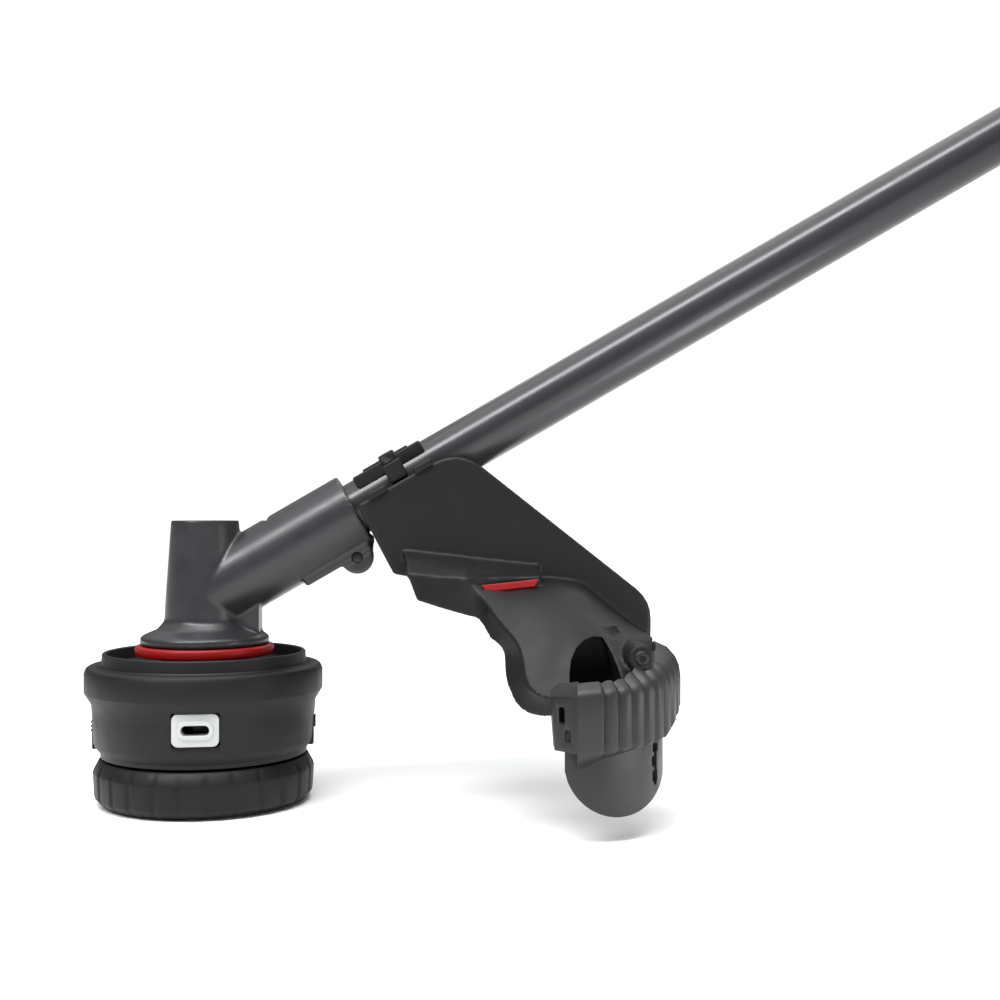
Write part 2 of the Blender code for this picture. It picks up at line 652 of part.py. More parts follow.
def make_front_handle(shaft):
    handle = finish("front_handle", swept(loop_points(), HANDLE_BAR_R, 10), "rubber", shaft)
    start, end = HANDLE_S - HANDLE_HALF_LENGTH, HANDLE_S + HANDLE_HALF_LENGTH
    join(handle, block((start, -0.038, 0.0010), (end, 0.038, 0.0280)), "handle_saddle")
    cut(handle, rod(TUBE_R + GAP, 0.8, 0.95, "X", FINE_SIDES), "handle_seat")
    base = block((start, -0.030, -0.0190), (end, 0.030, -0.0010), bevel=0.002)
    lower = finish("handle_clamp", base, "black_plastic", shaft)
    cut(lower, rod(TUBE_R + GAP, 0.8, 0.95, "X", FINE_SIDES), "handle_clamp_seat")
    for item, name in ((handle, "handle_holes"), (lower, "handle_clamp_holes")):
        holes = [rod(0.0028, -0.04, 0.012, "Z", 16, (HANDLE_S, side * 0.0215, 0.0))
                 for side in (-1, 1)]
        cut(item, merged(*holes), name)
    screw = [(0.0, -0.0225), (0.0045, -0.0225), (0.0045, -0.0193), (0.0025, -0.0193),
             (0.0025, 0.0105), (0.0, 0.0105)]
    finish("handle_screw", turned(screw, "Z", 16, (HANDLE_S, -0.0215, 0.0)), "steel", shaft)


def make_handle_knob(shaft):
    def lobed(scale, height):
        points = []
        for step in range(30):
            angle = math.tau * step / 30
            radius = scale * (0.0105 + 0.0018 * math.cos(5 * angle))
            points.append((HANDLE_S + radius * math.cos(angle),
                           0.0215 + radius * math.sin(angle), height))
        return points

    loops = [lobed(0.80, -0.0375), lobed(1.0, -0.0360), lobed(1.0, -0.0250), lobed(0.7, -0.0193)]
    knob = finish("handle_knob", stacked(loops, closed=False), "black_plastic", shaft)
    join(knob, rod(0.0025, -0.0250, 0.0105, "Z", 16, (HANDLE_S, 0.0215, 0.0)), "knob_stud")


# ---- rear housing, motor and battery -----------------------------------------------------------


def rounded_outline(low_s, high_s, low_n, high_n, radius):
    points = []
    corners = ((high_s, high_n, 0), (low_s, high_n, 90), (low_s, low_n, 180), (high_s, low_n, 270))
    for s, n, start in corners:
        centre_s = s - math.copysign(radius, s - (low_s + high_s) / 2)
        centre_n = n - math.copysign(radius, n - (low_n + high_n) / 2)
        for step in range(4):
            angle = math.radians(start + 30 * step)
            points.append((centre_s + radius * math.cos(angle), centre_n + radius * math.sin(angle)))
    return points


def half_prism(outline, side, inner, outer, bevel=0.0):
    low, high = sorted((side * inner, side * outer))
    return prism(outline, low, high, bevel)


HOUSING_SCREWS = ((1.378, 0.0345), (1.506, 0.0345), (1.378, -0.0405), (1.506, -0.0370))


def make_housing(shaft, name, side):
    split = GAP / 2
    bay = rounded_outline(BAY_START, BAY_END, BAY_LOW, BAY_HIGH, 0.014)
    grip = rounded_outline(GRIP_START, GRIP_END, GRIP_LOW, GRIP_HIGH, 0.007)
    half = finish(name, half_prism(bay, side, split, BAY_HALF_WIDTH), "grey_plastic", shaft)
    join(half, half_prism(grip, side, split, GRIP_HALF_WIDTH), name + "_grip")
    bay_hollow = rounded_outline(BAY_START + WALL, BAY_END - WALL, BAY_LOW + WALL,
                                 BAY_HIGH - WALL, 0.011)
    grip_hollow = rounded_outline(GRIP_START + WALL, BAY_START + 2 * WALL, GRIP_LOW + WALL,
                                  GRIP_HIGH - WALL, 0.004)
    cut(half, half_prism(bay_hollow, side, -0.002, BAY_HALF_WIDTH - WALL), name + "_bay_hollow")
    cut(half, half_prism(grip_hollow, side, -0.002, GRIP_HALF_WIDTH - WALL), name + "_grip_hollow")
    cut(half, rod(TUBE_R + GAP, 1.15, 1.25, "X", FINE_SIDES), name + "_tube_mouth")
    reach = BAY_HALF_WIDTH - WALL / 2
    low, high = sorted((side * split, side * reach))
    bosses = [rod(0.0045, low, high, "Y", 12, (s, 0.0, n)) for s, n in HOUSING_SCREWS]
    join(half, merged(*bosses), name + "_bosses")
    holes = [rod(0.0020, -0.06, 0.06, "Y", 12, (s, 0.0, n)) for s, n in HOUSING_SCREWS]
    cut(half, merged(*holes), name + "_screw_holes")
    openings = [
        block((1.2712, -0.0078, -0.030), (1.3362, 0.0078, -0.0190)),
        block((LOCK_START - 0.0008, -0.0068, 0.0145), (LOCK_END + 0.0008, 0.0068, 0.030)),
        rod(0.0076, 0.030, 0.060, "Z", 20, (SPEED_S, 0.0, 0.0)),
    ]
    cut(half, merged(*openings), name + "_openings")


def make_housing_screws(shaft):
    for number, (s, n) in enumerate(HOUSING_SCREWS, 1):
        profile = [(0.0, -0.0470), (0.0036, -0.0470), (0.0036, -0.0453), (0.0017, -0.0453),
                   (0.0017, 0.0400), (0.0, 0.0400)]
        finish(f"housing_screw_{number}", turned(profile, "Y", 12, (s, 0.0, n)), "steel", shaft)


def make_controls(shaft):
    outline = [
        (1.3335, -0.0155), (1.3335, -0.0208), (1.3200, -0.0310), (1.2980, -0.0360),
        (1.2800, -0.0345), (1.2745, -0.0290), (1.2760, -0.0215), (1.3200, -0.0195),
        (1.3265, -0.0155),
    ]
    trigger = finish("trigger", prism(outline, -0.0070, 0.0070), "red_plastic", shaft,
                     smooth=False)
    cut(trigger, rod(0.0018, -0.02, 0.02, "Y", 12, (TRIGGER_S, 0.0, TRIGGER_N)), "trigger_hole")
    pin = rod(0.0015, -0.0155, 0.0155, "Y", 12, (TRIGGER_S, 0.0, TRIGGER_N))
    finish("trigger_pin", pin, "steel", shaft)
    lock = block((LOCK_START, -0.0060, 0.0156), (LOCK_END, 0.0060, 0.0242), bevel=0.0012)
    finish("lock_off_button", lock, "red_plastic", shaft)
    profile = [(0.0, 0.0400), (0.0070, 0.0400), (0.0070, 0.0475), (0.0062, 0.0483), (0.0, 0.0483)]
    finish("speed_button", turned(profile, "Z", 20, (SPEED_S, 0.0, 0.0)), "black_plastic", shaft)
    switch = block((1.3370, -0.0080, -0.0205), (1.3620, 0.0080, -0.0135))
    finish("switch_module", switch, "black_plastic", shaft, smooth=False)
    board = block((1.3850, -0.0300, -0.0460), (1.4950, 0.0300, -0.0380))
    finish("control_board", board, "board", shaft, smooth=False)
    finish("tube_ferrule", turned([
        (TUBE_R + GAP, 1.1500), (0.0160, 1.1500), (0.0185, 1.1600), (0.0185, 1.1895),
        (TUBE_R + GAP, 1.1895)], "X"), "rubber", shaft)


def make_motor(shaft):
    finish("motor_stator", ring(STATOR_INNER_R, STATOR_R, MOTOR_START, MOTOR_END, "X"), "copper",
           shaft)
    finish("motor_rotor", ring(DRIVE_R + GAP, ROTOR_R, MOTOR_START, MOTOR_END, "X"), "steel", shaft)
    finish("motor_end_plate", ring(0.0095, STATOR_R, 1.3825, 1.3915, "X"), "cast_case", shaft)
    for name, start in (("motor_bearing_front", 1.3835), ("motor_bearing_rear", 1.4610)):
        finish(name, ring(DRIVE_R + GAP, SMALL_BEARING_R, start, start + 0.007, "X", SMALL_SIDES),
               "steel", shaft)
    blades = 9
    outline = []
    for blade in range(blades):
        for part, radius in ((0.0, 0.012), (0.35, 0.012), (0.45, 0.028), (0.75, 0.028)):
            angle = math.tau * (blade + part) / blades
            outline.append((radius * math.cos(angle), radius * math.sin(angle)))
    loops = [[(s, y, n) for y, n in outline] for s in (1.4450, 1.4550)]
    hub = [[(s, y * (DRIVE_R + GAP) / math.hypot(y, n), n * (DRIVE_R + GAP) / math.hypot(y, n))
            for y, n in outline] for s in (1.4550, 1.4450)]
    finish("cooling_fan", stacked(loops + hub, closed=True), "grey_plastic", shaft, smooth=False)


def make_battery(shaft):
    body = block((BATTERY_START, -0.0400, -0.0500), (BATTERY_END, 0.0400, 0.0430), bevel=0.006)
    pack = finish("battery_pack", body, "black_plastic", shaft)
    cut(pack, block((1.5440, -0.0120, 0.0335), (1.5660, 0.0120, 0.0500)), "battery_latch_pocket")
    latch = block((1.5443, -0.0117, 0.0365), (1.5657, 0.0117, 0.0452), bevel=0.0012)
    finish("battery_latch", latch, "red_plastic", shaft)


def main():
    clear_scene()
    shaft = bpy.data.objects.new("shaft_frame", None)
    bpy.context.collection.objects.link(shaft)
    shaft.location = (0.0, 0.0, APEX_Z)
    shaft.rotation_euler = (0.0, -math.radians(SHAFT_RISE), 0.0)
    head = bpy.data.objects.new("head_frame", None)
    bpy.context.collection.objects.link(head)
    head.rotation_euler = (0.0, 0.0, math.radians(HEAD_TURN))
    make_spool_housing(head)
    make_eyelets(head)
    make_latch_tabs(head)
    make_bump_cap()
    make_bump_knob()
    make_spool()
    make_spool_spring()
    make_spindle()
    make_gears(shaft)
    make_bearings(shaft)
    make_gear_case(shaft)
    make_case_bolt()
    make_collar()
    make_shaft(shaft)
    make_guard_clamp(shaft)
    make_guard_shell(shaft)
    make_guard_bumper()
    make_guard_skirt()
    make_line_cutter()
    make_front_handle(shaft)
    make_handle_knob(shaft)
    make_housing(shaft, "housing_left", -1)
    make_housing(shaft, "housing_right", 1)
    make_housing_screws(shaft)
    make_controls(shaft)
    make_motor(shaft)
    make_battery(shaft)


main()
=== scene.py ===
# %% [markdown]
# # A string trimmer in Blender
# The working model of this tool, with every part at its real size, already exists. This lesson
# loads it as a fixed frame and builds the visible skin around it: the castings, mouldings and
# tube that a person sees. Everything is in metres, +Z is up, and the cutting head spins about
# the world's Z axis. Pieces on the shaft are built lying along X and then swung up into place.

# %% Load the fixed frame
import math

import bpy
from mathutils import Matrix, Vector


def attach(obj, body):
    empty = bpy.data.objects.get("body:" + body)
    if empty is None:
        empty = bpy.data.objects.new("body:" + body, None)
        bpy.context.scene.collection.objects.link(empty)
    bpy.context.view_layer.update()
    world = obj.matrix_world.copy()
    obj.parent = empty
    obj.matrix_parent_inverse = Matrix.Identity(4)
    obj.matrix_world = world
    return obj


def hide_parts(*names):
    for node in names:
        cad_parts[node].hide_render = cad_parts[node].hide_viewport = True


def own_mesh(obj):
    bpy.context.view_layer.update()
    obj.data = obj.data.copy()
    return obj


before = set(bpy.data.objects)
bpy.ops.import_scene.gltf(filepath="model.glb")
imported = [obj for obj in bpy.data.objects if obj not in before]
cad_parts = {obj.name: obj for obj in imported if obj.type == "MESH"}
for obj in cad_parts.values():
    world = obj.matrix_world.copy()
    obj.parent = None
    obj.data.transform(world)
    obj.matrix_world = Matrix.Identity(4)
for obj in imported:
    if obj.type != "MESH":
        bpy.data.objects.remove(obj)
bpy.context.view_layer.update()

MM = 0.001
print("nodes in the frame:", len(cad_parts))

# %% [markdown]
# ## The camera and the light
# A product shot of a long tool is taken low, with the lens level, so that the shaft climbs out of
# the picture. The camera stands 0.65 m to the side of the head, at a little over the height of
# the gear case, and looks along +Y with a small turn.

# %% Camera
SHAFT_RISE = math.radians(30.25)
APEX_Z = 95 * MM
camera_data = bpy.data.cameras.new("camera")
camera_data.lens = 48.6
camera_data.sensor_width = 36.0
camera_data.shift_y = 0.010
camera_data.clip_start = 0.01
camera = bpy.data.objects.new("camera", camera_data)
bpy.context.collection.objects.link(camera)
camera.location = (0.0843, -0.6475, 0.136)
camera.rotation_euler = (math.radians(90.0), 0.0, math.radians(-4.9))
bpy.context.scene.camera = camera

# %% [markdown]
# A long soft box above and in front of the tool, parallel to its shaft, draws one clean highlight
# along the dark tube. A wide diffuser overhead lights the tops of things, a weak box behind picks
# out the upper edges, and a small one low on the right opens up the bumper and the skirt.

# %% Lights, surround and floor
def soft_box(name, place, aim, size, power):
    """An area light at a place, turned so that it points at aim."""
    data = bpy.data.lights.new(name, "AREA")
    data.shape = "RECTANGLE"
    data.size, data.size_y = size
    data.energy = power
    light = bpy.data.objects.new(name, data)
    bpy.context.collection.objects.link(light)
    light.location = place
    light.visible_camera = False
    light.rotation_euler = (Vector(aim) - Vector(place)).to_track_quat("-Z", "Y").to_euler()
    return light


SHAFT_AXIS = Vector((math.cos(SHAFT_RISE), 0.0, math.sin(SHAFT_RISE)))
SHAFT_UP = Vector((-math.sin(SHAFT_RISE), 0.0, math.cos(SHAFT_RISE)))
KEY_ANGLE = math.radians(60.0)
KEY_DISTANCE = 1.0
KEY_MIDDLE = 0.38
key_side = SHAFT_UP * math.sin(KEY_ANGLE) - Vector((0.0, math.cos(KEY_ANGLE), 0.0))
key_aim = Vector((0.0, 0.0, APEX_Z)) + SHAFT_AXIS * KEY_MIDDLE
key = soft_box("key_light", key_aim + key_side * KEY_DISTANCE, key_aim, (1.35, 0.25), 17.0)
key_turn = Matrix((SHAFT_AXIS, key_side.cross(SHAFT_AXIS), key_side)).transposed()
key.rotation_euler = key_turn.to_euler()

sun_data = bpy.data.lights.new("overhead_diffuser", "SUN")
sun_data.energy = 1.5
sun_data.angle = math.radians(70.0)
sun = bpy.data.objects.new("overhead_diffuser", sun_data)
bpy.context.collection.objects.link(sun)
soft_box("rim_light", (0.55, 1.10, 1.10), (0.15, 0.0, 0.10), (1.6, 0.6), 3.0)
soft_box("side_light", (0.44, -0.22, 0.06), (0.20, -0.07, 0.05), (0.15, 0.15), 0.45)

# %% [markdown]
# A photographer hangs white paper far behind the tool and keeps the room in front of it dimmer.
# The surround does the same: the eye sees it white, while as a lamp it is dim at the horizon and
# bright overhead, which keeps upright faces dark and lets the tops of things catch the light.

# %% White surround
def add(tree, kind, links=None, **settings):
    """Add a node with its settings, and link its named inputs to other nodes' outputs."""
    made = tree.nodes.new(kind)
    for key, value in settings.items():
        setattr(made, key, value)
    for name, value in (links or {}).items():
        if isinstance(value, bpy.types.NodeSocket):
            tree.links.new(value, made.inputs[name])
        else:
            made.inputs[name].default_value = value
    return made


HORIZON, ZENITH = 0.11, 0.95      # the surround's strength as a lamp
PAPER = 1.02                      # and as the eye sees it
world = bpy.data.worlds.new("surround")
world.use_nodes = True
surround = world.node_tree
heading = add(surround, "ShaderNodeTexCoord")
parts = add(surround, "ShaderNodeSeparateXYZ", {"Vector": heading.outputs["Generated"]})
glow = add(surround, "ShaderNodeMapRange",
           {"Value": parts.outputs["Z"], "From Min": 0.05, "From Max": 0.95,
            "To Min": HORIZON, "To Max": ZENITH}, interpolation_type="SMOOTHSTEP")
lamp = surround.nodes["Background"]
lamp.inputs["Color"].default_value = (0.97, 0.985, 1.0, 1.0)
surround.links.new(glow.outputs["Result"], lamp.inputs["Strength"])
paper = add(surround, "ShaderNodeBackground", {"Color": (1.0, 1.0, 1.0, 1.0), "Strength": PAPER})
seen = add(surround, "ShaderNodeLightPath")
either = add(surround, "ShaderNodeMixShader",
             {"Fac": seen.outputs["Is Camera Ray"], 1: lamp.outputs["Background"],
              2: paper.outputs["Background"]})
surround.links.new(either.outputs["Shader"], surround.nodes["World Output"].inputs["Surface"])
bpy.context.scene.world = world
bpy.context.scene.view_settings.view_transform = "Standard"

# %% [markdown]
# ## Working by hand, in code
# The same few moves shape every piece: select the piece, add a primitive, extrude and scale its
# loops, cut with another shape, round the edges. Each gets a small helper.

# %% Selecting and applying
def choose(piece):
    bpy.ops.object.select_all(action="DESELECT")
    piece.select_set(True)
    bpy.context.view_layer.objects.active = piece
    return piece


def apply_modifier(piece, kind, **settings):
    choose(piece)
    modifier = piece.modifiers.new(kind.title(), kind)
    for key, value in settings.items():
        setattr(modifier, key, value)
    bpy.ops.object.modifier_apply(modifier=modifier.name)
    return piece


def settle(piece, matrix=None):
    """Move a piece's place into its mesh, so that its object sits at the origin, unturned."""
    if matrix is not None:
        piece.matrix_world = matrix @ piece.matrix_world
    choose(piece)
    bpy.ops.object.transform_apply(location=True, rotation=True, scale=True)
    return piece


def soften(piece, width, segments=3, angle=28.0):
    """Round every edge sharper than the angle, then shade the rest smooth."""
    apply_modifier(piece, "BEVEL", width=width, segments=segments, limit_method="ANGLE",
                   angle_limit=math.radians(angle), use_clamp_overlap=True)
    choose(piece)
    bpy.ops.object.shade_smooth_by_angle(angle=math.radians(35.0))
    return piece


def outward(piece):
    """Turn every face of a piece to the outside."""
    choose(piece)
    bpy.ops.object.mode_set(mode="EDIT")
    bpy.ops.mesh.select_all(action="SELECT")
    bpy.ops.mesh.normals_make_consistent(inside=False)
    bpy.ops.object.mode_set(mode="OBJECT")
    return piece


def from_points(name, points, faces):
    mesh = bpy.data.meshes.new(name)
    mesh.from_pydata(points, [], faces)
    piece = bpy.data.objects.new(name, mesh)
    bpy.context.collection.objects.link(piece)
    return choose(piece)


# %% Cutting and joining
def cut(piece, tool, operation="DIFFERENCE"):
    apply_modifier(piece, "BOOLEAN", operation=operation, solver="EXACT", object=tool)
    bpy.data.objects.remove(tool)
    return piece


def join(piece, tool):
    return cut(piece, tool, "UNION")


def swing_to_shaft():
    """The move that lifts a piece built along X onto the rising shaft."""
    return Matrix.Translation((0.0, 0.0, APEX_Z)) @ Matrix.Rotation(-SHAFT_RISE, 4, "Y")


def lift(piece):
    return settle(piece, swing_to_shaft())


def lay_along_shaft():
    """The same for a piece turned about Z: it is laid down along X first."""
    return swing_to_shaft() @ Matrix.Rotation(math.pi / 2, 4, "Y")


def mm(*values):
    """Lengths given in millimetres, as metres."""
    return tuple(value * MM for value in values)


def millimetres(points):
    return [mm(*point) for point in points]


# %% Turned, boxed and swept shapes
def turn(name, profile, sides=96, closed=True):
    """Turn a profile of (radius, height) points, as on a lathe: a circle is extruded and
    scaled from point to point. A closed profile makes a ring, an open one gets flat ends."""
    radius, height = profile[0]
    bpy.ops.object.select_all(action="DESELECT")
    bpy.ops.mesh.primitive_circle_add(vertices=sides, radius=radius, location=(0, 0, 0))
    piece = bpy.context.object
    piece.name = name
    bpy.ops.object.mode_set(mode="EDIT")
    bpy.ops.mesh.select_all(action="SELECT")
    bpy.ops.transform.translate(value=(0, 0, height))
    for next_radius, next_height in profile[1:]:
        bpy.ops.mesh.extrude_region_move(
            TRANSFORM_OT_translate={"value": (0, 0, next_height - height)})
        scale = next_radius / radius
        bpy.ops.transform.resize(value=(scale, scale, 1), center_override=(0, 0, next_height))
        radius, height = next_radius, next_height
    bpy.ops.mesh.select_all(action="DESELECT")
    bpy.ops.mesh.select_mode(type="EDGE")
    bpy.ops.mesh.select_non_manifold()
    if closed:
        bpy.ops.mesh.bridge_edge_loops()
    else:
        bpy.ops.mesh.fill_holes(sides=0)
    bpy.ops.mesh.select_all(action="SELECT")
    bpy.ops.mesh.normals_make_consistent(inside=False)
    bpy.ops.mesh.select_mode(type="VERT")
    bpy.ops.object.mode_set(mode="OBJECT")
    return piece


def bar(name, radius, low, high, axis="Z", centre=(0.0, 0.0, 0.0), sides=48):
    """A round bar along an axis."""
    piece = turn(name, [(radius, low), (radius, high)], sides, closed=False)
    turns = {"X": (math.pi / 2, "Y"), "Y": (-math.pi / 2, "X"), "Z": (0.0, "Z")}
    angle, about = turns[axis]
    return settle(piece, Matrix.Translation(centre) @ Matrix.Rotation(angle, 4, about))


def box(name, low, high, bevel=0.0, segments=3):
    """A block between two corners, with rounded edges."""
    bpy.ops.object.select_all(action="DESELECT")
    low, high = Vector(low), Vector(high)
    bpy.ops.mesh.primitive_cube_add(size=1.0, location=(low + high) / 2, scale=high - low)
    piece = bpy.context.object
    piece.name = name
    settle(piece)
    if bevel:
        apply_modifier(piece, "BEVEL", width=bevel, segments=segments, limit_method="NONE")
    return piece


def plate(name, outline, low, high):
    """A flat plate: an outline of (x, z) points made into a face and extruded along Y."""
    piece = from_points(name, [(x, low, z) for x, z in outline], [list(range(len(outline)))])
    bpy.ops.object.mode_set(mode="EDIT")
    bpy.ops.mesh.select_all(action="SELECT")
    bpy.ops.mesh.extrude_region_move(TRANSFORM_OT_translate={"value": (0, high - low, 0)})
    bpy.ops.object.mode_set(mode="OBJECT")
    return outward(piece)


def sweep(name, points, radius, sides=24, cyclic=False):
    """A round bar along a path: a curve with a bevel, turned into a mesh."""
    curve = bpy.data.curves.new(name, "CURVE")
    curve.dimensions = "3D"
    curve.bevel_depth = radius
    curve.bevel_resolution = sides // 4 - 1
    curve.use_fill_caps = True
    spline = curve.splines.new("POLY")
    spline.points.add(len(points) - 1)
    for knot, point in zip(spline.points, points):
        knot.co = (*point, 1.0)
    spline.use_cyclic_u = cyclic
    piece = bpy.data.objects.new(name, curve)
    bpy.context.collection.objects.link(piece)
    choose(piece)
    bpy.ops.object.convert(target="MESH")
    return bpy.context.object


# %% [markdown]
# ## Finishes
# Every finish is made of nodes that read the object's own coordinates, so it stays put when the
# piece moves. Colours are given as the sRGB hex values that a painter would quote, and turned
# into the linear light that the shader works in.

# %% Colour and finish helpers
def linear(code, alpha=1.0):
    """An sRGB hex colour as linear RGBA."""
    channels = [int(code[k:k + 2], 16) / 255 for k in (1, 3, 5)]
    return (*[c / 12.92 if c <= 0.04045 else ((c + 0.055) / 1.055) ** 2.4 for c in channels], alpha)


def new_finish(name, metallic=0.0, ior=1.5, coat=0.0, coat_roughness=0.3):
    finish = bpy.data.materials.new(name)
    finish.use_nodes = True
    tree = finish.node_tree
    shader = tree.nodes["Principled BSDF"]
    shader.inputs["Metallic"].default_value = metallic
    shader.inputs["IOR"].default_value = ior
    shader.inputs["Coat Weight"].default_value = coat
    shader.inputs["Coat Roughness"].default_value = coat_roughness
    place = add(tree, "ShaderNodeTexCoord").outputs["Object"]
    return finish, tree, shader, place


def per_metre(size_mm):
    """Noise scale whose features are about so many millimetres across."""
    return 1.0 / (size_mm * MM)


def surface(name, dark, light, rough, grain_mm, relief_mm, patch_mm=35.0, scuff=0.04,
            metallic=0.0, ior=1.5, coat=0.0):
    """The common build of a moulded or painted surface: two tones drifting in large patches,
    a fine grain that shows in the bump, and roughness that wanders where hands have rubbed."""
    finish, tree, shader, place = new_finish(name, metallic, ior, coat)
    patches = add(tree, "ShaderNodeTexNoise",
                  {"Vector": place, "Scale": per_metre(patch_mm), "Detail": 4.0})
    tone = add(tree, "ShaderNodeMix", {"Factor": patches.outputs["Fac"], "A": linear(dark),
                                       "B": linear(light)}, data_type="RGBA")
    tree.links.new(tone.outputs[2], shader.inputs["Base Color"])
    grain = add(tree, "ShaderNodeTexNoise",
                {"Vector": place, "Scale": per_metre(grain_mm), "Detail": 3.0,
                 "Roughness": 0.6})
    wander = add(tree, "ShaderNodeTexNoise",
                 {"Vector": place, "Scale": per_metre(patch_mm / 4), "Detail": 6.0})
    worn = add(tree, "ShaderNodeMapRange",
               {"Value": wander.outputs["Fac"], "From Min": 0.3, "From Max": 0.7,
                "To Min": rough - scuff, "To Max": rough + scuff})
    tree.links.new(worn.outputs["Result"], shader.inputs["Roughness"])
    relief = add(tree, "ShaderNodeBump",
                 {"Height": grain.outputs["Fac"], "Strength": 1.0, "Distance": relief_mm * MM})
    tree.links.new(relief.outputs["Normal"], shader.inputs["Normal"])
    return finish


# %% [markdown]
# The guard, the spool housing and the clamps are glass-filled nylon: injection moulded, black
# right through, with a spark-eroded grain that kills the shine. The grain is really about 0.1 mm
# and is drawn near 0.5 mm so that it shows at all.

# %% Plastics
black_nylon = surface("glass_filled_nylon_black", "#0E0E0F", "#141415", 0.50, 0.5, 0.012, ior=1.33)
grey_nylon = surface("moulded_nylon_dark_grey", "#1D1D1E", "#232324", 0.45, 0.6, 0.014, ior=1.42)
red_abs = surface("moulded_abs_red", "#820607", "#8E090A", 0.42, 0.6, 0.008, ior=1.38)

# %% [markdown]
# The tube is steel with a satin powder coat: a thin plastic skin, baked on, whose slight orange
# peel breaks up the highlight. The gear case is cast magnesium, shot blasted and painted, so its
# grain is coarser and softer.

# %% Painted metals
satin_tube = surface("powder_coated_steel_tube", "#2E2E30", "#363638", 0.24, 1.6, 0.006,
                     patch_mm=60.0, scuff=0.03, metallic=0.35)
cast_paint = surface("painted_cast_magnesium", "#2B2B2D", "#333335", 0.33, 0.9, 0.012,
                     scuff=0.05, metallic=0.3)

# %% [markdown]
# Small fittings: glazed alumina for the line eyelets, which nylon line can't saw through; bright
# zinc-plated steel for the spring and the inner metal parts, black oxide steel for screws; soft
# overmoulded rubber for what the hands hold.

# %% Fittings
glazed_alumina = surface("glazed_alumina_white", "#AAACAC", "#B4B6B6", 0.22, 2.0, 0.004,
                         patch_mm=12.0, scuff=0.02, ior=1.65)
plated_steel = surface("zinc_plated_steel", "#8F9296", "#A5A8AC", 0.30, 0.8, 0.006,
                       patch_mm=8.0, metallic=1.0)
black_screw = surface("black_oxide_steel", "#2A2A2C", "#363638", 0.38, 0.6, 0.006,
                      patch_mm=6.0, metallic=0.8)
grip_rubber = surface("overmoulded_rubber_black", "#161616", "#1D1D1D", 0.72, 0.7, 0.03,
                      ior=1.48)
nylon_line = surface("extruded_nylon_line_black", "#101010", "#1A1A1A", 0.35, 2.4, 0.15)
circuit_board = surface("solder_masked_board", "#12402A", "#175235", 0.4, 1.2, 0.02)
copper_winding = surface("enamelled_copper_wire", "#8A4A26", "#A65C30", 0.35, 1.0, 0.08,
                         metallic=0.9)

# %% [markdown]
# ## The cutting head
# The head is a two-part drum. The upper shell is turned here from its section, in the same order
# as a lathe tool would travel: down the outside from the tray's rim to the groove above the cap,
# and back up the inside.

# %% Spool housing
HEAD_TURN = math.radians(2.6)
EYELET_SIZE = (20.4 * MM, 14.4 * MM)
EYELET_Z = 40 * MM
housing_section = [
    (5.3, 65.5), (20.0, 65.5), (21.0, 62.5), (43.0, 62.3), (44.4, 64.0), (44.9, 69.0),
    (45.4, 69.6), (46.4, 69.6), (46.9, 69.1), (47.3, 64.2), (48.6, 62.9), (49.8, 63.7),
    (53.0, 63.6), (54.1, 62.8), (55.0, 60.8), (55.0, 51.9), (51.7, 46.6), (51.3, 41.0),
    (50.7, 28.8), (50.0, 26.8), (47.6, 24.0), (47.6, 22.2), (45.0, 22.2), (45.0, 58.0),
    (11.0, 58.5), (11.0, 52.0), (5.3, 52.0),
]
housing = turn("housing_shell", millimetres(housing_section), 144)
half_width, half_height = EYELET_SIZE[0] / 2 + 0.3 * MM, EYELET_SIZE[1] / 2 + 0.3 * MM
for side in (-1, 1):
    reach = sorted(mm(side * 40, side * 60))
    cut(housing, box("window", (-half_width, reach[0], EYELET_Z - half_height),
                     (half_width, reach[1], EYELET_Z + half_height), 1.2 * MM))
    cut(housing, box("latch_window", (reach[0], -8.0 * MM, 24.5 * MM),
                     (reach[1], 8.0 * MM, 39.6 * MM)))
soften(housing, 0.35 * MM, 2)
settle(housing, Matrix.Rotation(HEAD_TURN, 4, "Z"))
print("housing faces:", len(housing.data.polygons))

# %% [markdown]
# The cap screws or clips on below. Its wall carries shallow upright flutes so that a gloved hand
# can turn it. They are pressed into the turned wall by moving every few columns of points in.

# %% Bump cap with its flutes
FLUTES = 26
CAP_SIDES = FLUTES * 12
FLUTE_DEPTH = 0.7 * MM
cap_section = [
    (32.5, 0.5), (46.3, 0.5), (47.4, 0.9), (50.0, 3.6), (50.3, 4.6), (50.9, 14.6),
    (50.7, 15.8), (48.4, 20.2), (47.6, 21.0), (44.5, 21.0), (44.5, 9.0), (32.5, 9.0),
]
cap = turn("cap_shell", millimetres(cap_section), CAP_SIDES)
for vertex in cap.data.vertices:
    radius = math.hypot(vertex.co.x, vertex.co.y)
    on_wall = radius > 49.5 * MM and 3.0 * MM < vertex.co.z < 15.9 * MM
    place_in_flute = (math.atan2(vertex.co.y, vertex.co.x) / math.tau * FLUTES) % 1.0
    if on_wall and place_in_flute < 0.17:
        vertex.co.x *= 1.0 - FLUTE_DEPTH / radius
        vertex.co.y *= 1.0 - FLUTE_DEPTH / radius
soften(cap, 0.25 * MM, 2, 40.0)

knob_section = [
    (1.0, 0.0), (30.0, 0.0), (31.3, 0.5), (31.8, 1.8), (31.8, 9.3), (36.0, 9.5),
    (36.0, 11.5), (24.0, 11.5), (24.0, 29.6), (20.0, 29.6), (20.0, 4.0), (1.0, 4.0),
]
knob = turn("knob_face", millimetres(knob_section), 96, closed=False)
soften(knob, 0.2 * MM, 2)

# %% [markdown]
# Inside, a coil spring holds the spool down. It shortens as the spool is bumped up, so it is
# drawn here as a helix that can be squashed towards the roof of the housing.

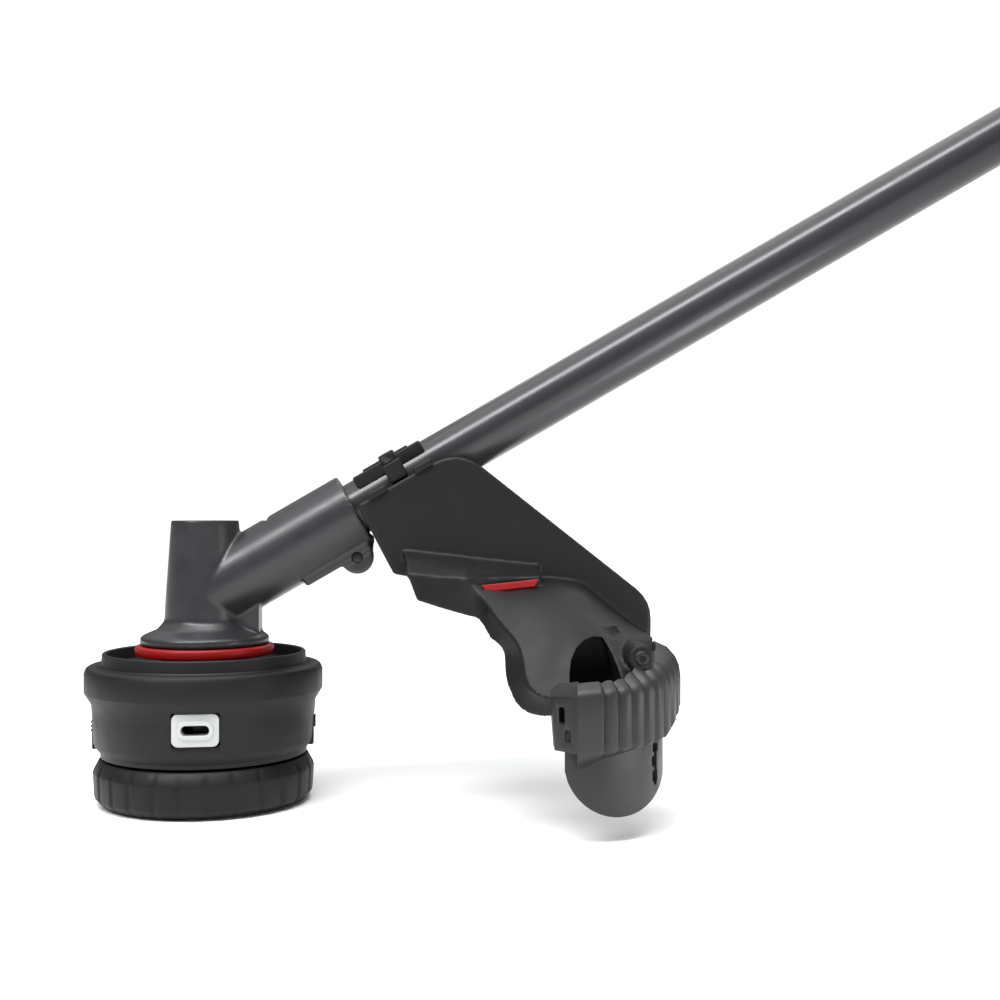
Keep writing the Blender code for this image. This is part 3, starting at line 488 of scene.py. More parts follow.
# %% Spool spring
SPRING_LOW, SPRING_HIGH, SPRING_TURNS = 37.1 * MM, 57.4 * MM, 5
SPRING_RADIUS, SPRING_WIRE = 13.2 * MM, 0.75 * MM
spring_path = []
for step in range(SPRING_TURNS * 24 + 1):
    share = step / (SPRING_TURNS * 24)
    angle = math.tau * SPRING_TURNS * share
    spring_path.append((SPRING_RADIUS * math.cos(angle), SPRING_RADIUS * math.sin(angle),
                        SPRING_LOW + (SPRING_HIGH - SPRING_LOW) * share))
spring = sweep("spring_coil", spring_path, SPRING_WIRE, 12)
choose(spring)
bpy.ops.object.shade_smooth_by_angle(angle=math.radians(50.0))

# %% [markdown]
# An eyelet is a ceramic block with a raised oval lip round its slot. The slot is a box with fully
# rounded ends, and the lip is the same box, a little larger, joined on and then cut through.

# %% Eyelets and latch tabs
def slot_bar(name, width, height, near, far, corner):
    """A bar along Y with rounded corners, centred on the eyelet's height."""
    piece = box(name, (-width / 2, near, EYELET_Z - height / 2),
                (width / 2, far, EYELET_Z + height / 2))
    choose(piece)
    bpy.ops.object.mode_set(mode="EDIT")
    bpy.ops.mesh.select_mode(type="EDGE")
    bpy.ops.mesh.select_all(action="DESELECT")
    bpy.ops.object.mode_set(mode="OBJECT")
    for edge in piece.data.edges:
        first, second = (piece.data.vertices[k].co for k in edge.vertices)
        edge.select = abs(first.y - second.y) > 1e-6
    bpy.ops.object.mode_set(mode="EDIT")
    bpy.ops.mesh.bevel(offset=corner, segments=8, affect="EDGES")
    bpy.ops.mesh.select_mode(type="VERT")
    bpy.ops.object.mode_set(mode="OBJECT")
    return piece


def eyelet(name, side):
    near, far = sorted(mm(side * 44.8, side * 51.6))
    piece = slot_bar(name, *EYELET_SIZE, near, far, 2.8 * MM)
    lip = sorted(mm(side * 48.0, side * 52.5))
    join(piece, slot_bar("lip", 16.0 * MM, 8.0 * MM, *lip, 3.96 * MM))
    slot = sorted(mm(side * 40.0, side * 60.0))
    cut(piece, slot_bar("slot", 12.2 * MM, 4.4 * MM, *slot, 2.17 * MM))
    soften(piece, 0.7 * MM, 3, 40.0)
    return settle(piece, Matrix.Rotation(HEAD_TURN, 4, "Z"))


def latch_tab(name, side):
    near, far = sorted(mm(side * 45.5, side * 50.9))
    piece = box(name, (near, -7.3 * MM, 25.3 * MM), (far, 7.3 * MM, 38.7 * MM), 0.8 * MM)
    for step in range(3):
        height = (33.2 + 2.0 * step) * MM
        rib = sorted(mm(side * 50.0, side * 51.8))
        join(piece, box("rib", (rib[0], -4.5 * MM, height),
                        (rib[1], 4.5 * MM, height + 1.0 * MM), 0.3 * MM))
    soften(piece, 0.15 * MM, 2, 40.0)
    return settle(piece, Matrix.Rotation(HEAD_TURN, 4, "Z"))


front_eyelet = eyelet("eyelet_glazed_front", -1)
rear_eyelet = eyelet("eyelet_glazed_rear", 1)
front_tab = latch_tab("latch_ribbed_front", -1)
rear_tab = latch_tab("latch_ribbed_rear", 1)

# %% [markdown]
# ## The gear case
# A casting has no sharp inside corners, because metal has to flow. Its lumps are therefore joined
# roughly, remeshed into small even cells, and smoothed, which runs a fillet into every joint. The
# machined bores are cut afterwards, so they stay crisp.

# %% Rough casting
LUG = mm(71.6, 0.0, 113.6)
case_section = [
    (29.8, 73.0), (29.8, 76.2), (28.9, 77.2), (22.0, 80.2), (18.8, 84.0), (18.4, 92.0),
    (15.7, 130.6), (14.8, 132.2),
]
case = turn("case_casting", millimetres(case_section), 96, closed=False)
socket = bar("socket", *mm(17.9, 2, 82), "X", sides=96)
join(case, lift(socket))
heel_outline = [(2, 74.5), (26.0, 74.5), (26.0, 93.0), (24.0, 98.0), (2, 98.0)]
join(case, plate("heel", millimetres(heel_outline), -10 * MM, 10 * MM))
pad = box("pad", mm(44, -9, -20.0), mm(80, 9, -10), 1.0 * MM)
join(case, lift(pad))
web_outline = [(56, 108.5), (64.8, 112.0), (71.6, 106.4), (78.6, 112.0), (79.6, 124), (56, 122)]
join(case, plate("web", millimetres(web_outline), -6 * MM, 6 * MM))
join(case, bar("lug", *mm(7.8, -7.5, 7.5), "Y", LUG))
apply_modifier(case, "REMESH", mode="VOXEL", voxel_size=0.8 * MM)
apply_modifier(case, "SMOOTH", factor=0.5, iterations=5)
print("casting faces:", len(case.data.polygons))

# %% Machined faces and bores
spindle_bore = [(13.0, 60), (13.0, 112.7), (9.5, 112.7), (9.5, 119.5)]
cut(case, turn("spindle_bore", millimetres(spindle_bore), 64, closed=False))
shaft_bore = [(9.5, 2), (9.5, 31), (13.0, 31), (13.0, 100)]
cut(case, settle(turn("shaft_bore", millimetres(shaft_bore), 64, closed=False),
                 lay_along_shaft()))
cut(case, bar("lug_hole", *mm(2.7, -20, 20), "Y", LUG))
cut(case, bar("top_face", *mm(30, 131.0, 140)))
plug_groove = [(10.4, 130.2), (11.0, 130.2), (11.0, 132), (10.4, 132)]
cut(case, turn("plug_groove", millimetres(plug_groove), 64))
choose(case)
bpy.ops.object.shade_smooth_by_angle(angle=math.radians(40.0))

collar_section = [
    (5.8, 68.0), (31.2, 68.0), (31.9, 68.4), (32.2, 69.2), (32.2, 71.5), (31.9, 72.3),
    (31.2, 72.7), (5.8, 72.7),
]
collar = turn("red_collar", millimetres(collar_section), 96)
soften(collar, 0.2 * MM, 2)

# %% [markdown]
# ## The tube
# The drive tube is drawn steel, 25.4 mm across. It is one long ring, turned with enough sides
# that its outline stays round in close views.

# %% Tube
tube_section = [(11.2, 32), (12.7, 32), (12.7, 1378), (11.2, 1378)]
tube = turn("tube_skin", millimetres(tube_section), 96)
SEAT_R = 13.0 * MM      # the radius of every seat that holds the tube
settle(tube, lay_along_shaft())
choose(tube)
bpy.ops.object.shade_smooth_by_angle(angle=math.radians(35.0))

# %% [markdown]
# ## The guard clamp
# A cap plate sits over the tube and two screws pull it down onto the guard. A strap in its middle
# reaches down the side, and a raised pad stands on top of the plate.

# %% Clamp cap and its screws
CLAMP_SPAN = (88 * MM, 124 * MM)
CLAMP_HALF = 21.5 * MM
SCREW_S, SCREW_Y = 107 * MM, 17.2 * MM
clamp = box("clamp_cap", (CLAMP_SPAN[0], -10.8 * MM, 6.0 * MM),
            (CLAMP_SPAN[1], 10.8 * MM, 13.4 * MM), 0.9 * MM)
join(clamp, box("strap", (102.5 * MM, -CLAMP_HALF, 1.4 * MM),
                (111.5 * MM, CLAMP_HALF, 10.8 * MM), 1.0 * MM))
join(clamp, box("raised_pad", mm(94, -7, 12.4), mm(118, 7, 14.4),
                0.5 * MM))
cut(clamp, bar("seat", SEAT_R, 60 * MM, 160 * MM, "X", sides=96))
for side in (-1, 1):
    cut(clamp, bar("hole", *mm(2.3, -30, 30), "Z", (SCREW_S, side * SCREW_Y, 0.0)))
soften(clamp, 0.3 * MM, 2, 40.0)
lift(clamp)


def socket_screw(name, head_r, head_low, head_high, shank_r, shank_low):
    """A cap screw about Z: a turned head and shank, with a six-sided recess in the head."""
    section = [(shank_r, shank_low), (shank_r, head_low), (head_r, head_low),
               (head_r, head_high - 0.5 * MM), (head_r - 0.5 * MM, head_high)]
    piece = turn(name, section, 40, closed=False)
    depth = (head_high - head_low) * 0.6
    cut(piece, bar("recess", head_r * 0.5, head_high - depth, head_high + 2 * MM, sides=6))
    return soften(piece, 0.12 * MM, 2, 40.0)


clamp_screws = []
for name, side in (("clamp_screw_near", -1), ("clamp_screw_far", 1)):
    screw = socket_screw(name, 4.0 * MM, 11.1 * MM, 15.6 * MM, 2.0 * MM, -11.0 * MM)
    clamp_screws.append(settle(screw, swing_to_shaft()
                               @ Matrix.Translation((SCREW_S, side * SCREW_Y, 0.0))))
case_bolt = socket_screw("case_bolt_head", 4.5 * MM, 7.8 * MM, 11.0 * MM, 2.4 * MM, -7.8 * MM)
settle(case_bolt, Matrix.Translation(LUG) @ Matrix.Rotation(-math.pi / 2, 4, "X"))

# %% [markdown]
# ## The guard
# The guard is one nylon moulding: a flat-sided box under the tube, with a wing on each side that
# catches what the line throws. The near wing is drawn as stations. Each station is a short path
# of points from the box out to the crease, and a last point on the hem. Smooth curves run through
# the stations, while the crease between the dome and the steep hem stays sharp.

# %% Wing sheet from stations
CORNER = Vector((165.5 * MM, -65.0 * MM, 0.0))
SKIRT_R = 39.4 * MM


def round_corner(angle, radius, height):
    """A point at an angle round the guard's rear corner, from straight towards the viewer."""
    turned_by = math.radians(angle)
    return (CORNER.x + radius * math.sin(turned_by), CORNER.y - radius * math.cos(turned_by), height)


def on_corner(angle, height):
    """A point on the wing's own round corner, in millimetres."""
    return [value / MM for value in round_corner(angle, 35.2 * MM, height * MM)]


# Each row: box edge, two points on the way, the crease, the hem.
WING_STATIONS = [
    [(93.3, -23.5, 118.0), (93.7, -32, 114.7), (94.0, -38, 111.3),
     (94.4, -44.0, 107.9), (98.8, -46, 96.0)],
    [(110.7, -23.5, 116.0), (110.9, -32, 112.7), (111.1, -39, 109.4),
     (111.3, -45.0, 106.1), (111.2, -47, 92.0)],
    [(122.0, -23.5, 114.5), (121.6, -33, 111.5), (121.2, -40, 108.5),
     (121.0, -45.5, 105.2), (121.5, -49, 89.2)],
    [(128.5, -23.5, 112.5), (128.5, -34, 109.0), (127.8, -43, 103.6),
     (127.0, -50.5, 98.2), (125.8, -51, 87.4)],
    [(139.0, -23.5, 106.5), (138.5, -38, 103.4), (136.5, -53, 97.2),
     (133.6, -64.0, 88.6), (130.6, -56, 79.8)],
    [(152.0, -23.5, 105.0), (151.0, -40, 103.0), (146.8, -60, 95.0),
     (141.6, -77.5, 77.6), (135.6, -61, 74.4)],
    [(166.0, -23.5, 103.8), (163.5, -43, 101.6), (156.5, -70, 87.5),
     (144.4, -91.0, 62.5), (136.0, -72, 63.2)],
    [(176.0, -23.5, 102.2), (172.0, -48, 97.0), (164.0, -79, 81.8),
     (153.4, -98.5, 58.4), (141.2, -82, 52.4)],
    [(183.5, -23.5, 96.2), (180.0, -50, 91.0), (174.0, -78.5, 79.8),
     on_corner(-6, 60), (152.0, -93, 50.4)],
    [(190.5, -23.5, 90.6), (187.5, -49, 86.4), (184.0, -73, 79.6),
     on_corner(20, 61), on_corner(14, 53)],
    [(197.0, -23.5, 85.4), (195.4, -46, 82.4), (193.0, -66, 79.0),
     on_corner(42, 64), on_corner(42, 53)],
    [(202.0, -23.5, 81.4), (201.2, -43, 80.0), (199.6, -58, 78.4),
     on_corner(62, 66), on_corner(62, 53)],
    [(206.0, -23.5, 79.0), (205.6, -40, 78.4), (204.2, -53, 77.2),
     on_corner(84, 67), on_corner(84, 53)],
]


def through(points, steps):
    """A smooth curve through the points, with so many steps between each pair."""
    points = [Vector(point) for point in points]
    ends = [2 * points[0] - points[1], *points, 2 * points[-1] - points[-2]]
    curve = []
    for index in range(1, len(ends) - 2):
        a, b, c, d = ends[index - 1:index + 3]
        for step in range(steps):
            t = step / steps
            curve.append(0.5 * (2 * b + (c - a) * t + (2 * a - 5 * b + 4 * c - d) * t * t
                                + (3 * b - a - 3 * c + d) * t ** 3))
    return curve + [points[-1]]


def wing_sheet(name, side, row_count, steps=6, wall=3.0 * MM):
    """A grid primitive laid over the stations, then given its wall thickness."""
    rows = [through(millimetres([station[row] for station in WING_STATIONS]), steps)
            for row in range(row_count)]
    columns = []
    for column in zip(*rows):
        line = through(column[:4], steps)
        if row_count > 4:
            line = line + through(column[3:], steps)[1:]
        columns.append(line)
    across, down = len(columns), len(columns[0])
    bpy.ops.object.select_all(action="DESELECT")
    bpy.ops.mesh.primitive_grid_add(x_subdivisions=across - 1, y_subdivisions=down - 1, size=1)
    piece = bpy.context.object
    piece.name = name
    for vertex in piece.data.vertices:
        column = round((vertex.co.x + 0.5) * (across - 1))
        row = round((0.5 - vertex.co.y) * (down - 1))
        point = columns[column][row]
        vertex.co = (point.x, -side * point.y, point.z)
    if side > 0:
        choose(piece)
        bpy.ops.object.mode_set(mode="EDIT")
        bpy.ops.mesh.select_all(action="SELECT")
        bpy.ops.mesh.flip_normals()
        bpy.ops.object.mode_set(mode="OBJECT")
    return apply_modifier(piece, "SOLIDIFY", thickness=wall, offset=-1.0)


def wedge(name, left, right):
    """A block whose two end faces are four-cornered, each given as (x, y, z) points in order."""
    bpy.ops.object.select_all(action="DESELECT")
    bpy.ops.mesh.primitive_cube_add(size=2.0, location=(0, 0, 0))
    piece = bpy.context.object
    piece.name = name
    corners = {(-1, -1): 2, (-1, 1): 1, (1, -1): 3, (1, 1): 0}
    for vertex in piece.data.vertices:
        end = left if vertex.co.x < 0 else right
        vertex.co = Vector(end[corners[round(vertex.co.y), round(vertex.co.z)]]) * MM
    return outward(piece)


# %% Spine and moulding
SPINE_HALF = 25 * MM
spine_outline = [
    (72.0, 138.2), (88.6, 106.6), (98.5, 104.6), (127.0, 93.0), (170.0, 86.0), (196.0, 70.0),
    (208.5, 70.0), (208.7, 85.0), (208.3, 89.0), (207.0, 92.7), (204.9, 96.1), (201.8, 99.2),
    (129.3, 156.1), (125.3, 158.6), (121.0, 160.1), (117.0, 160.6), (112.0, 159.9), (104.0, 156.5),
]
hollow_outline = [
    (86.3, 117.0), (91.7, 108.4), (91.7, 50.0), (205.0, 50.0), (205.0, 86.0), (203.0, 92.0),
    (199.5, 97.5), (128.0, 152.5), (123.0, 138.5),
]
guard = plate("guard_moulding", millimetres(spine_outline), -SPINE_HALF, SPINE_HALF)
cut(guard, plate("hollow", millimetres(hollow_outline), 3 * MM - SPINE_HALF, SPINE_HALF - 3 * MM))
join(guard, wing_sheet("near_wing", -1, 5))
join(guard, wing_sheet("far_wing", 1, 3))
print("wing stations:", len(WING_STATIONS))

# %% [markdown]
# A ledge stands out above the line's exit. Behind the bumper an arched pocket lightens the corner,
# with a web on one side of it and a boss for the cutter's screw on the other.

# %% Ledge, pocket and boss
CORNER_SCREW = mm(190.6, 0.0, 74.6)
join(guard, wedge("ledge",
                  [(120.5, -24, 114.6), (120.5, -46.6, 105.4), (120.5, -45, 100), (120.5, -24, 104)],
                  [(155.6, -24, 110.9), (154.6, -44.5, 106.0), (154.6, -43.5, 101.5),
                   (155.6, -24, 102)]))
join(guard, box("pocket_back", mm(156, -66, 58), mm(186, -62, 86)))
join(guard, wedge("pocket_web",
                  [(179.0, -62, 84.5), (179.0, -76, 81.5), (181.8, -99, 64), (181.8, -62, 60)],
                  [(186.0, -62, 82.0), (186.5, -74, 80.0), (187.5, -97, 64), (187.5, -62, 60)]))
join(guard, bar("corner_boss", *mm(5.6, -96, -66), "Y", CORNER_SCREW))
apply_modifier(guard, "REMESH", mode="VOXEL", voxel_size=0.9 * MM)
apply_modifier(guard, "SMOOTH", factor=0.5, iterations=3)
arch_outline = [(160.2, 63.0), (160.8, 68.0), (162.0, 73.2), (164.8, 77.8), (168.8, 80.8), (173.4, 82.0),
                (177.6, 81.4), (179.4, 77.5), (181.6, 70.0), (182.6, 63.0)]
cut(guard, plate("arch", millimetres(arch_outline), -125 * MM, -66.5 * MM))
join(guard, box("pocket_floor", mm(157.3, -96.7, 58.7),
                mm(183.7, -63.1, 61.1)))
cut(guard, lift(bar("seat", SEAT_R, 50 * MM, 200 * MM, "X", sides=96)))
cut(guard, lift(box("notch", mm(0.0, -21.8, -1.0), mm(200, 21.8, 30))))
for side in (-1, 1):
    for start, end in ((90.0, 99.6), (114.4, 123.5)):
        near, far = sorted(mm(side * 22.0, side * 26.6))
        rail = box("seat_rail", (start * MM, near, -0.4 * MM), (end * MM, far, 3.0 * MM), 0.8 * MM)
        join(guard, lift(rail))
    hole = bar("hole", *mm(2.3, -12.5, 30), "Z", (SCREW_S, side * SCREW_Y, 0.0))
    cut(guard, lift(hole))
choose(guard)
bpy.ops.object.shade_smooth_by_angle(angle=math.radians(40.0))
print("guard faces:", len(guard.data.polygons))

# %% [markdown]
# ## The bumper and the skirt
# The rear corner wears a ribbed bumper, so that the guard can be leaned on a kerb. Its section is
# swept round the corner station by station: an under-chamfer, the upright face, and a slope that
# leans in to the dome. At each rib the face swells out and up in a smooth wave.

# %% Sweeping a section round the corner
def corner_sweep(name, angles, section):
    """Bridge a closed section from station to station; section(angle) gives (radius, z) pairs."""
    size = len(section(angles[0]))
    points, faces = [], []
    for angle in angles:
        points += [round_corner(angle, radius, height) for radius, height in section(angle)]
    for index in range(len(angles) - 1):
        first = size * index
        for step in range(size):
            following = (step + 1) % size
            faces.append((first + step, first + following, first + size + following,
                          first + size + step))
    faces += [tuple(reversed(range(size))),
              tuple(len(points) - size + step for step in range(size))]
    return outward(from_points(name, points, faces))


def blend(value, *knots):
    """Read a value off a line drawn through (position, value) knots."""
    for (left, low), (right, high) in zip(knots, knots[1:]):
        if value <= right:
            return low + (high - low) * max(0.0, (value - left) / (right - left))
    return knots[-1][1]


# %% Ribbed bumper
FIRST_VALLEY, RIB_PITCH, RIB_DEPTH = 9.7, 7.7, 1.9
STATIONS_PER_RIB = 8


def rib_wave(angle):
    """1 on a rib and 0 in a valley; the face before the first valley is plain."""
    if angle < FIRST_VALLEY - RIB_PITCH / 2:
        return 1.0
    place_on_rib = ((angle - FIRST_VALLEY) / RIB_PITCH) % 1.0
    return min(1.0, 1.25 * math.sin(math.pi * place_on_rib) ** 0.8)


def bumper_section(angle):
    sunk = RIB_DEPTH * (1.0 - rib_wave(angle))
    foot = blend(angle, (-5, 30.8), (10, 34.7), (46, 39.8), (92, 47.0))
    low = blend(angle, (-5, 38.2), (0, 38.8), (45, 41.5), (52, 43.2), (60, 46.5), (70, 51.0),
                (92, 55.5))
    high = blend(angle, (-5, 60.7), (0, 61.0), (40, 62.0), (60, 63.7), (80, 66.0), (92, 67.0))
    lean = blend(angle, (-5, 5.0), (22, 5.5), (42, 11.0), (92, 11.8))
    top_radius = blend(angle, (-5, 40.4), (22, 40.4), (42, 36.6), (92, 36.4))
    swell = blend(angle, (22, 0.0), (55, 1.0))
    face = 47.0 - sunk
    shape = [(40.2, foot), (face - 1.2, low - 1.2), (face, low + 0.8), (face, high - 1.0),
             (face - 0.5, high + 1.0 + 1.8 * swell), (face - 1.9, high + 2.6 + 3.4 * swell),
             (face - 5.0 + 0.2 * swell, high + 4.4 + 4.8 * swell - 0.3 * sunk),
             (top_radius, high + lean - 0.6 * sunk), (top_radius - 0.6, high + lean - 1.4),
             (top_radius - 0.6, 53.0), (40.0, 51.0), (40.0, foot + 0.4)]
    return millimetres(shape)


BUMPER_SPAN = (-5.0, 92.0)
station_count = int((BUMPER_SPAN[1] - BUMPER_SPAN[0]) / RIB_PITCH * STATIONS_PER_RIB)
bumper_angles = [BUMPER_SPAN[0] + RIB_PITCH / STATIONS_PER_RIB * step
                 for step in range(station_count + 2)]
bumper = corner_sweep("bumper_ribbed", bumper_angles, bumper_section)
end_cap = wedge("end_cap",
                [(152.0, -92.0, 63.6), (152.6, -97.6, 59.6), (154.0, -97.6, 37.4),
                 (154.0, -92.0, 38.6)],
                [(163.6, -98.0, 65.6), (162.0, -111.6, 60.7), (162.0, -111.6, 37.9),
                 (163.6, -98.0, 38.6)])
join(bumper, end_cap)
for across, height, size in ((0.36, 52.5, 3.4), (0.58, 44.5, 2.4)):
    hole = box("end_hole", mm(-1.7, -5, -size), mm(1.7, 5, size), 0.9 * MM)
    middle = Vector((153.2 + 8.8 * across, -97.6 - 14.0 * across, height)) * MM
    cut(bumper, settle(hole, Matrix.Translation(middle)
                       @ Matrix.Rotation(math.radians(148), 4, "Z")))
soften(bumper, 0.5 * MM, 2, 40.0)


# %% Skirt
def skirt_section(angle):
    across = math.sin(math.radians(angle)) * SKIRT_R / MM
    from_middle = min(abs(across - 16.0) / 24.5, 1.0)
    low = 33.5 - 23.2 * math.sqrt(1.0 - from_middle ** 2)
    inner = SKIRT_R / MM - 3.0
    return millimetres([(SKIRT_R / MM, low), (SKIRT_R / MM, 50.0), (inner, 50.0), (inner, low)])


skirt = corner_sweep("skirt_panel", [-12.0 + 1.75 * step for step in range(61)], skirt_section)
slot_turn = Matrix.Translation(CORNER) @ Matrix.Rotation(math.radians(-35), 4, "Z")
for low, top, left, right in ((20.5, 41.5, 1.2, 1.6), (22, 27, 2.6, 2.4),
                              (28.5, 33.0, 3.2, 1.6), (34.5, 39.5, 2.4, 3.0)):
    slot = box("slot", mm(30, -left, low), mm(45, right, top), 0.8 * MM)
    cut(skirt, settle(slot, slot_turn))
soften(skirt, 0.9 * MM, 3, 35.0)

corner_screw = socket_screw("corner_screw_head", 3.0 * MM, 95.0 * MM, 96.6 * MM, 2.0 * MM, 90 * MM)
settle(corner_screw, Matrix.Translation(CORNER_SCREW) @ Matrix.Rotation(math.pi / 2, 4, "X"))

# %% [markdown]
# A plain red bar under the ledge marks the side that the line leaves from.

# %% Red marker bar
marker = wedge("marker_bar",
               [(127.4, -43.6, 102.4), (127.4, -47.4, 102.4), (129.6, -47.4, 99.4),
                (129.6, -43.6, 99.4)],
               [(153.2, -43.6, 105.0), (153.2, -47.4, 105.0), (151.4, -47.4, 101.6),
                (151.4, -43.6, 101.6)])
apply_modifier(marker, "BEVEL", width=0.5 * MM, segments=3)

# %% [markdown]
# ## The loop handle
# The front handle is a loop of nylon tube under soft rubber, clamped across the shaft. Its path
# is most of an ellipse, closed off by the saddle block.

# %% Loop, saddle and clamp
HANDLE_S = 860 * MM
LOOP_WIDE, LOOP_TALL, LOOP_MIDDLE = 74, 62, 82      # half axes and height, in millimetres


def on_loop(angle):
    """A point on the loop's ellipse."""
    return (HANDLE_S, LOOP_WIDE * MM * math.cos(angle),
            (LOOP_MIDDLE + LOOP_TALL * math.sin(angle)) * MM)


loop_path = [on_loop(math.radians(-62 + 304 * step / 60)) for step in range(61)]
loop = sweep("loop_grip", loop_path, 10.5 * MM, 32)
saddle_span = (HANDLE_S - 18 * MM, HANDLE_S + 18 * MM)
join(loop, box("saddle", (saddle_span[0], -38 * MM, 1 * MM),
               (saddle_span[1], 38 * MM, 28 * MM), 3 * MM, 4))
cut(loop, bar("seat", SEAT_R, 800 * MM, 920 * MM, "X", sides=64))
lower_clamp = box("loop_clamp", (saddle_span[0], -30 * MM, -19 * MM), (saddle_span[1], 30 * MM, -1 * MM),
                  2.5 * MM, 4)
cut(lower_clamp, bar("seat", SEAT_R, 800 * MM, 920 * MM, "X", sides=64))
for piece in (loop, lower_clamp):
    for side in (-1, 1):
        cut(piece, bar("hole", *mm(2.8, -40, 12), "Z", (HANDLE_S, side * 21.5 * MM, 0.0)))
for step in range(17):
    angle = math.radians(20 + 140 * step / 16)
    tangent = Vector((0.0, -LOOP_WIDE * math.sin(angle), LOOP_TALL * math.cos(angle))).normalized()
    groove = millimetres([(9.9, -0.7), (12.5, -0.7), (12.5, 0.7), (9.9, 0.7)])
    facing = Vector((0, 0, 1)).rotation_difference(tangent).to_matrix().to_4x4()
    cut(loop, settle(turn("groove", groove, 32), Matrix.Translation(on_loop(angle)) @ facing))
soften(loop, 0.4 * MM, 2, 40.0)
soften(lower_clamp, 0.4 * MM, 2, 40.0)
lift(loop)
lift(lower_clamp)

# %% Clamp knob and screw
handle_knob_section = [(8.0, -37.5), (10.4, -36.3), (10.8, -35.0), (10.8, -25.5), (7.0, -19.3)]
handle_knob = turn("lobed_knob", millimetres(handle_knob_section), 80, closed=False)
for vertex in handle_knob.data.vertices:
    around = math.atan2(vertex.co.y, vertex.co.x)
    swell = 1.0 + 0.15 * math.cos(5 * around)
    vertex.co.x *= swell
    vertex.co.y *= swell
join(handle_knob, bar("stud", *mm(2.5, -25, 10.5), "Z"))
soften(handle_knob, 0.5 * MM, 3, 35.0)
settle(handle_knob, swing_to_shaft() @ Matrix.Translation((HANDLE_S, 21.5 * MM, 0.0)))
handle_screw = socket_screw("loop_screw", 4.5 * MM, 19.3 * MM, 22.5 * MM, 2.5 * MM, -10.5 * MM)
settle(handle_screw, swing_to_shaft() @ Matrix.Translation((HANDLE_S, -21.5 * MM, 0.0))
       @ Matrix.Rotation(math.pi, 4, "X"))

# %% [markdown]
# ## The rear housing
# Two mirrored shells meet on the tool's middle plane. The whole body is modelled once, as a block
# for the motor bay and a slim one for the grip, hollowed out, and then split with the bisect tool
# into a left and a right half with a hair of a gap between them. A baffle stands behind each row
# of vents, so that nobody can see or poke straight through.

# %% Whole body
GRIP_SPAN = (1190 * MM, 1372 * MM)
BAY_SPAN = (1365 * MM, 1520 * MM)
SEAM = 0.15 * MM
HOUSING_SCREWS = ((1378, 34.5), (1506, 34.5), (1378, -40.5), (1506, -37.0))


def whole_body():
    body = box("body", (BAY_SPAN[0], -45 * MM, -52 * MM), (BAY_SPAN[1], 45 * MM, 46 * MM), 13 * MM, 6)
    join(body, box("grip", (GRIP_SPAN[0], -19 * MM, -24 * MM),
                   (GRIP_SPAN[1], 19 * MM, 20 * MM), 8 * MM, 6))
    cut(body, box("bay", (BAY_SPAN[0] + 3 * MM, -42 * MM, -49 * MM),
                  (BAY_SPAN[1] - 3 * MM, 42 * MM, 43 * MM), 10 * MM, 4))
    cut(body, box("hand", (GRIP_SPAN[0] + 3 * MM, -16 * MM, -21 * MM),
                  (GRIP_SPAN[1] + 6 * MM, 16 * MM, 17 * MM), 4 * MM, 3))
    cut(body, bar("mouth", SEAT_R, 1150 * MM, 1250 * MM, "X", sides=64))
    cut(body, box("trigger_mouth", mm(1271.2, -7.8, -30), mm(1336.2, 7.8, -19)))
    cut(body, box("lock_mouth", mm(1287.2, -6.8, 14.5), mm(1318.8, 6.8, 30)))
    cut(body, bar("speed_mouth", *mm(7.6, 30, 60), "Z", (1410 * MM, 0.0, 0.0)))
    for s, n in HOUSING_SCREWS:
        join(body, bar("post", *mm(4.5, -43, 43), "Y", mm(s, 0.0, n), 24))
        cut(body, bar("hole", *mm(2.0, -60, 60), "Y", mm(s, 0.0, n), 24))
    for side in (-1, 1):
        near, far = sorted(mm(side * 38.5, side * 39.7))
        join(body, box("baffle", (1438 * MM, near, -24 * MM), (1502 * MM, far, 22 * MM)))
        for height in (-24 * MM, 20.5 * MM):
            near, far = sorted(mm(side * 38.5, side * 42.5))
            join(body, box("baffle_rail", (1438 * MM, near, height), (1502 * MM, far, height + 1.5 * MM)))
    for row in range(6):
        start = (1446 + 9 * row) * MM
        for low, high in ((-60 * MM, -40.5 * MM), (40.5 * MM, 60 * MM)):
            cut(body, box("vent", (start, low, -20 * MM), (start + 4 * MM, high, 18 * MM), 1.2 * MM, 2))
    return body


def half_of(body, name, side):
    """Keep one side of the body: bisect it just off the middle plane and fill the cut."""
    choose(body)
    bpy.ops.object.duplicate()
    half = bpy.context.object
    half.name = name
    bpy.ops.object.mode_set(mode="EDIT")
    bpy.ops.mesh.select_all(action="SELECT")
    bpy.ops.mesh.bisect(plane_co=(0, side * SEAM, 0), plane_no=(0, side, 0), use_fill=True,
                        clear_inner=True)
    bpy.ops.object.mode_set(mode="OBJECT")
    soften(half, 0.5 * MM, 2, 40.0)
    return lift(half)


body = whole_body()
housing_near = half_of(body, "body_shell_left", -1)
housing_far = half_of(body, "body_shell_right", 1)
bpy.data.objects.remove(body)

# %% [markdown]
# The rubber ferrule where the tube enters, the trigger, the two buttons and the battery finish
# the rear end.

# %% Ferrule, controls and battery
ferrule_section = [
    (13.0, 1150), (15.4, 1150), (16.2, 1151), (18.5, 1160), (18.5, 1164), (17.6, 1165),
    (17.6, 1167), (18.5, 1168), (18.5, 1172), (17.6, 1173), (17.6, 1175), (18.5, 1176),
    (18.5, 1189.5), (13.0, 1189.5),
]
ferrule = turn("ferrule_rubber", millimetres(ferrule_section), 64)
soften(ferrule, 0.3 * MM, 2)
settle(ferrule, lay_along_shaft())

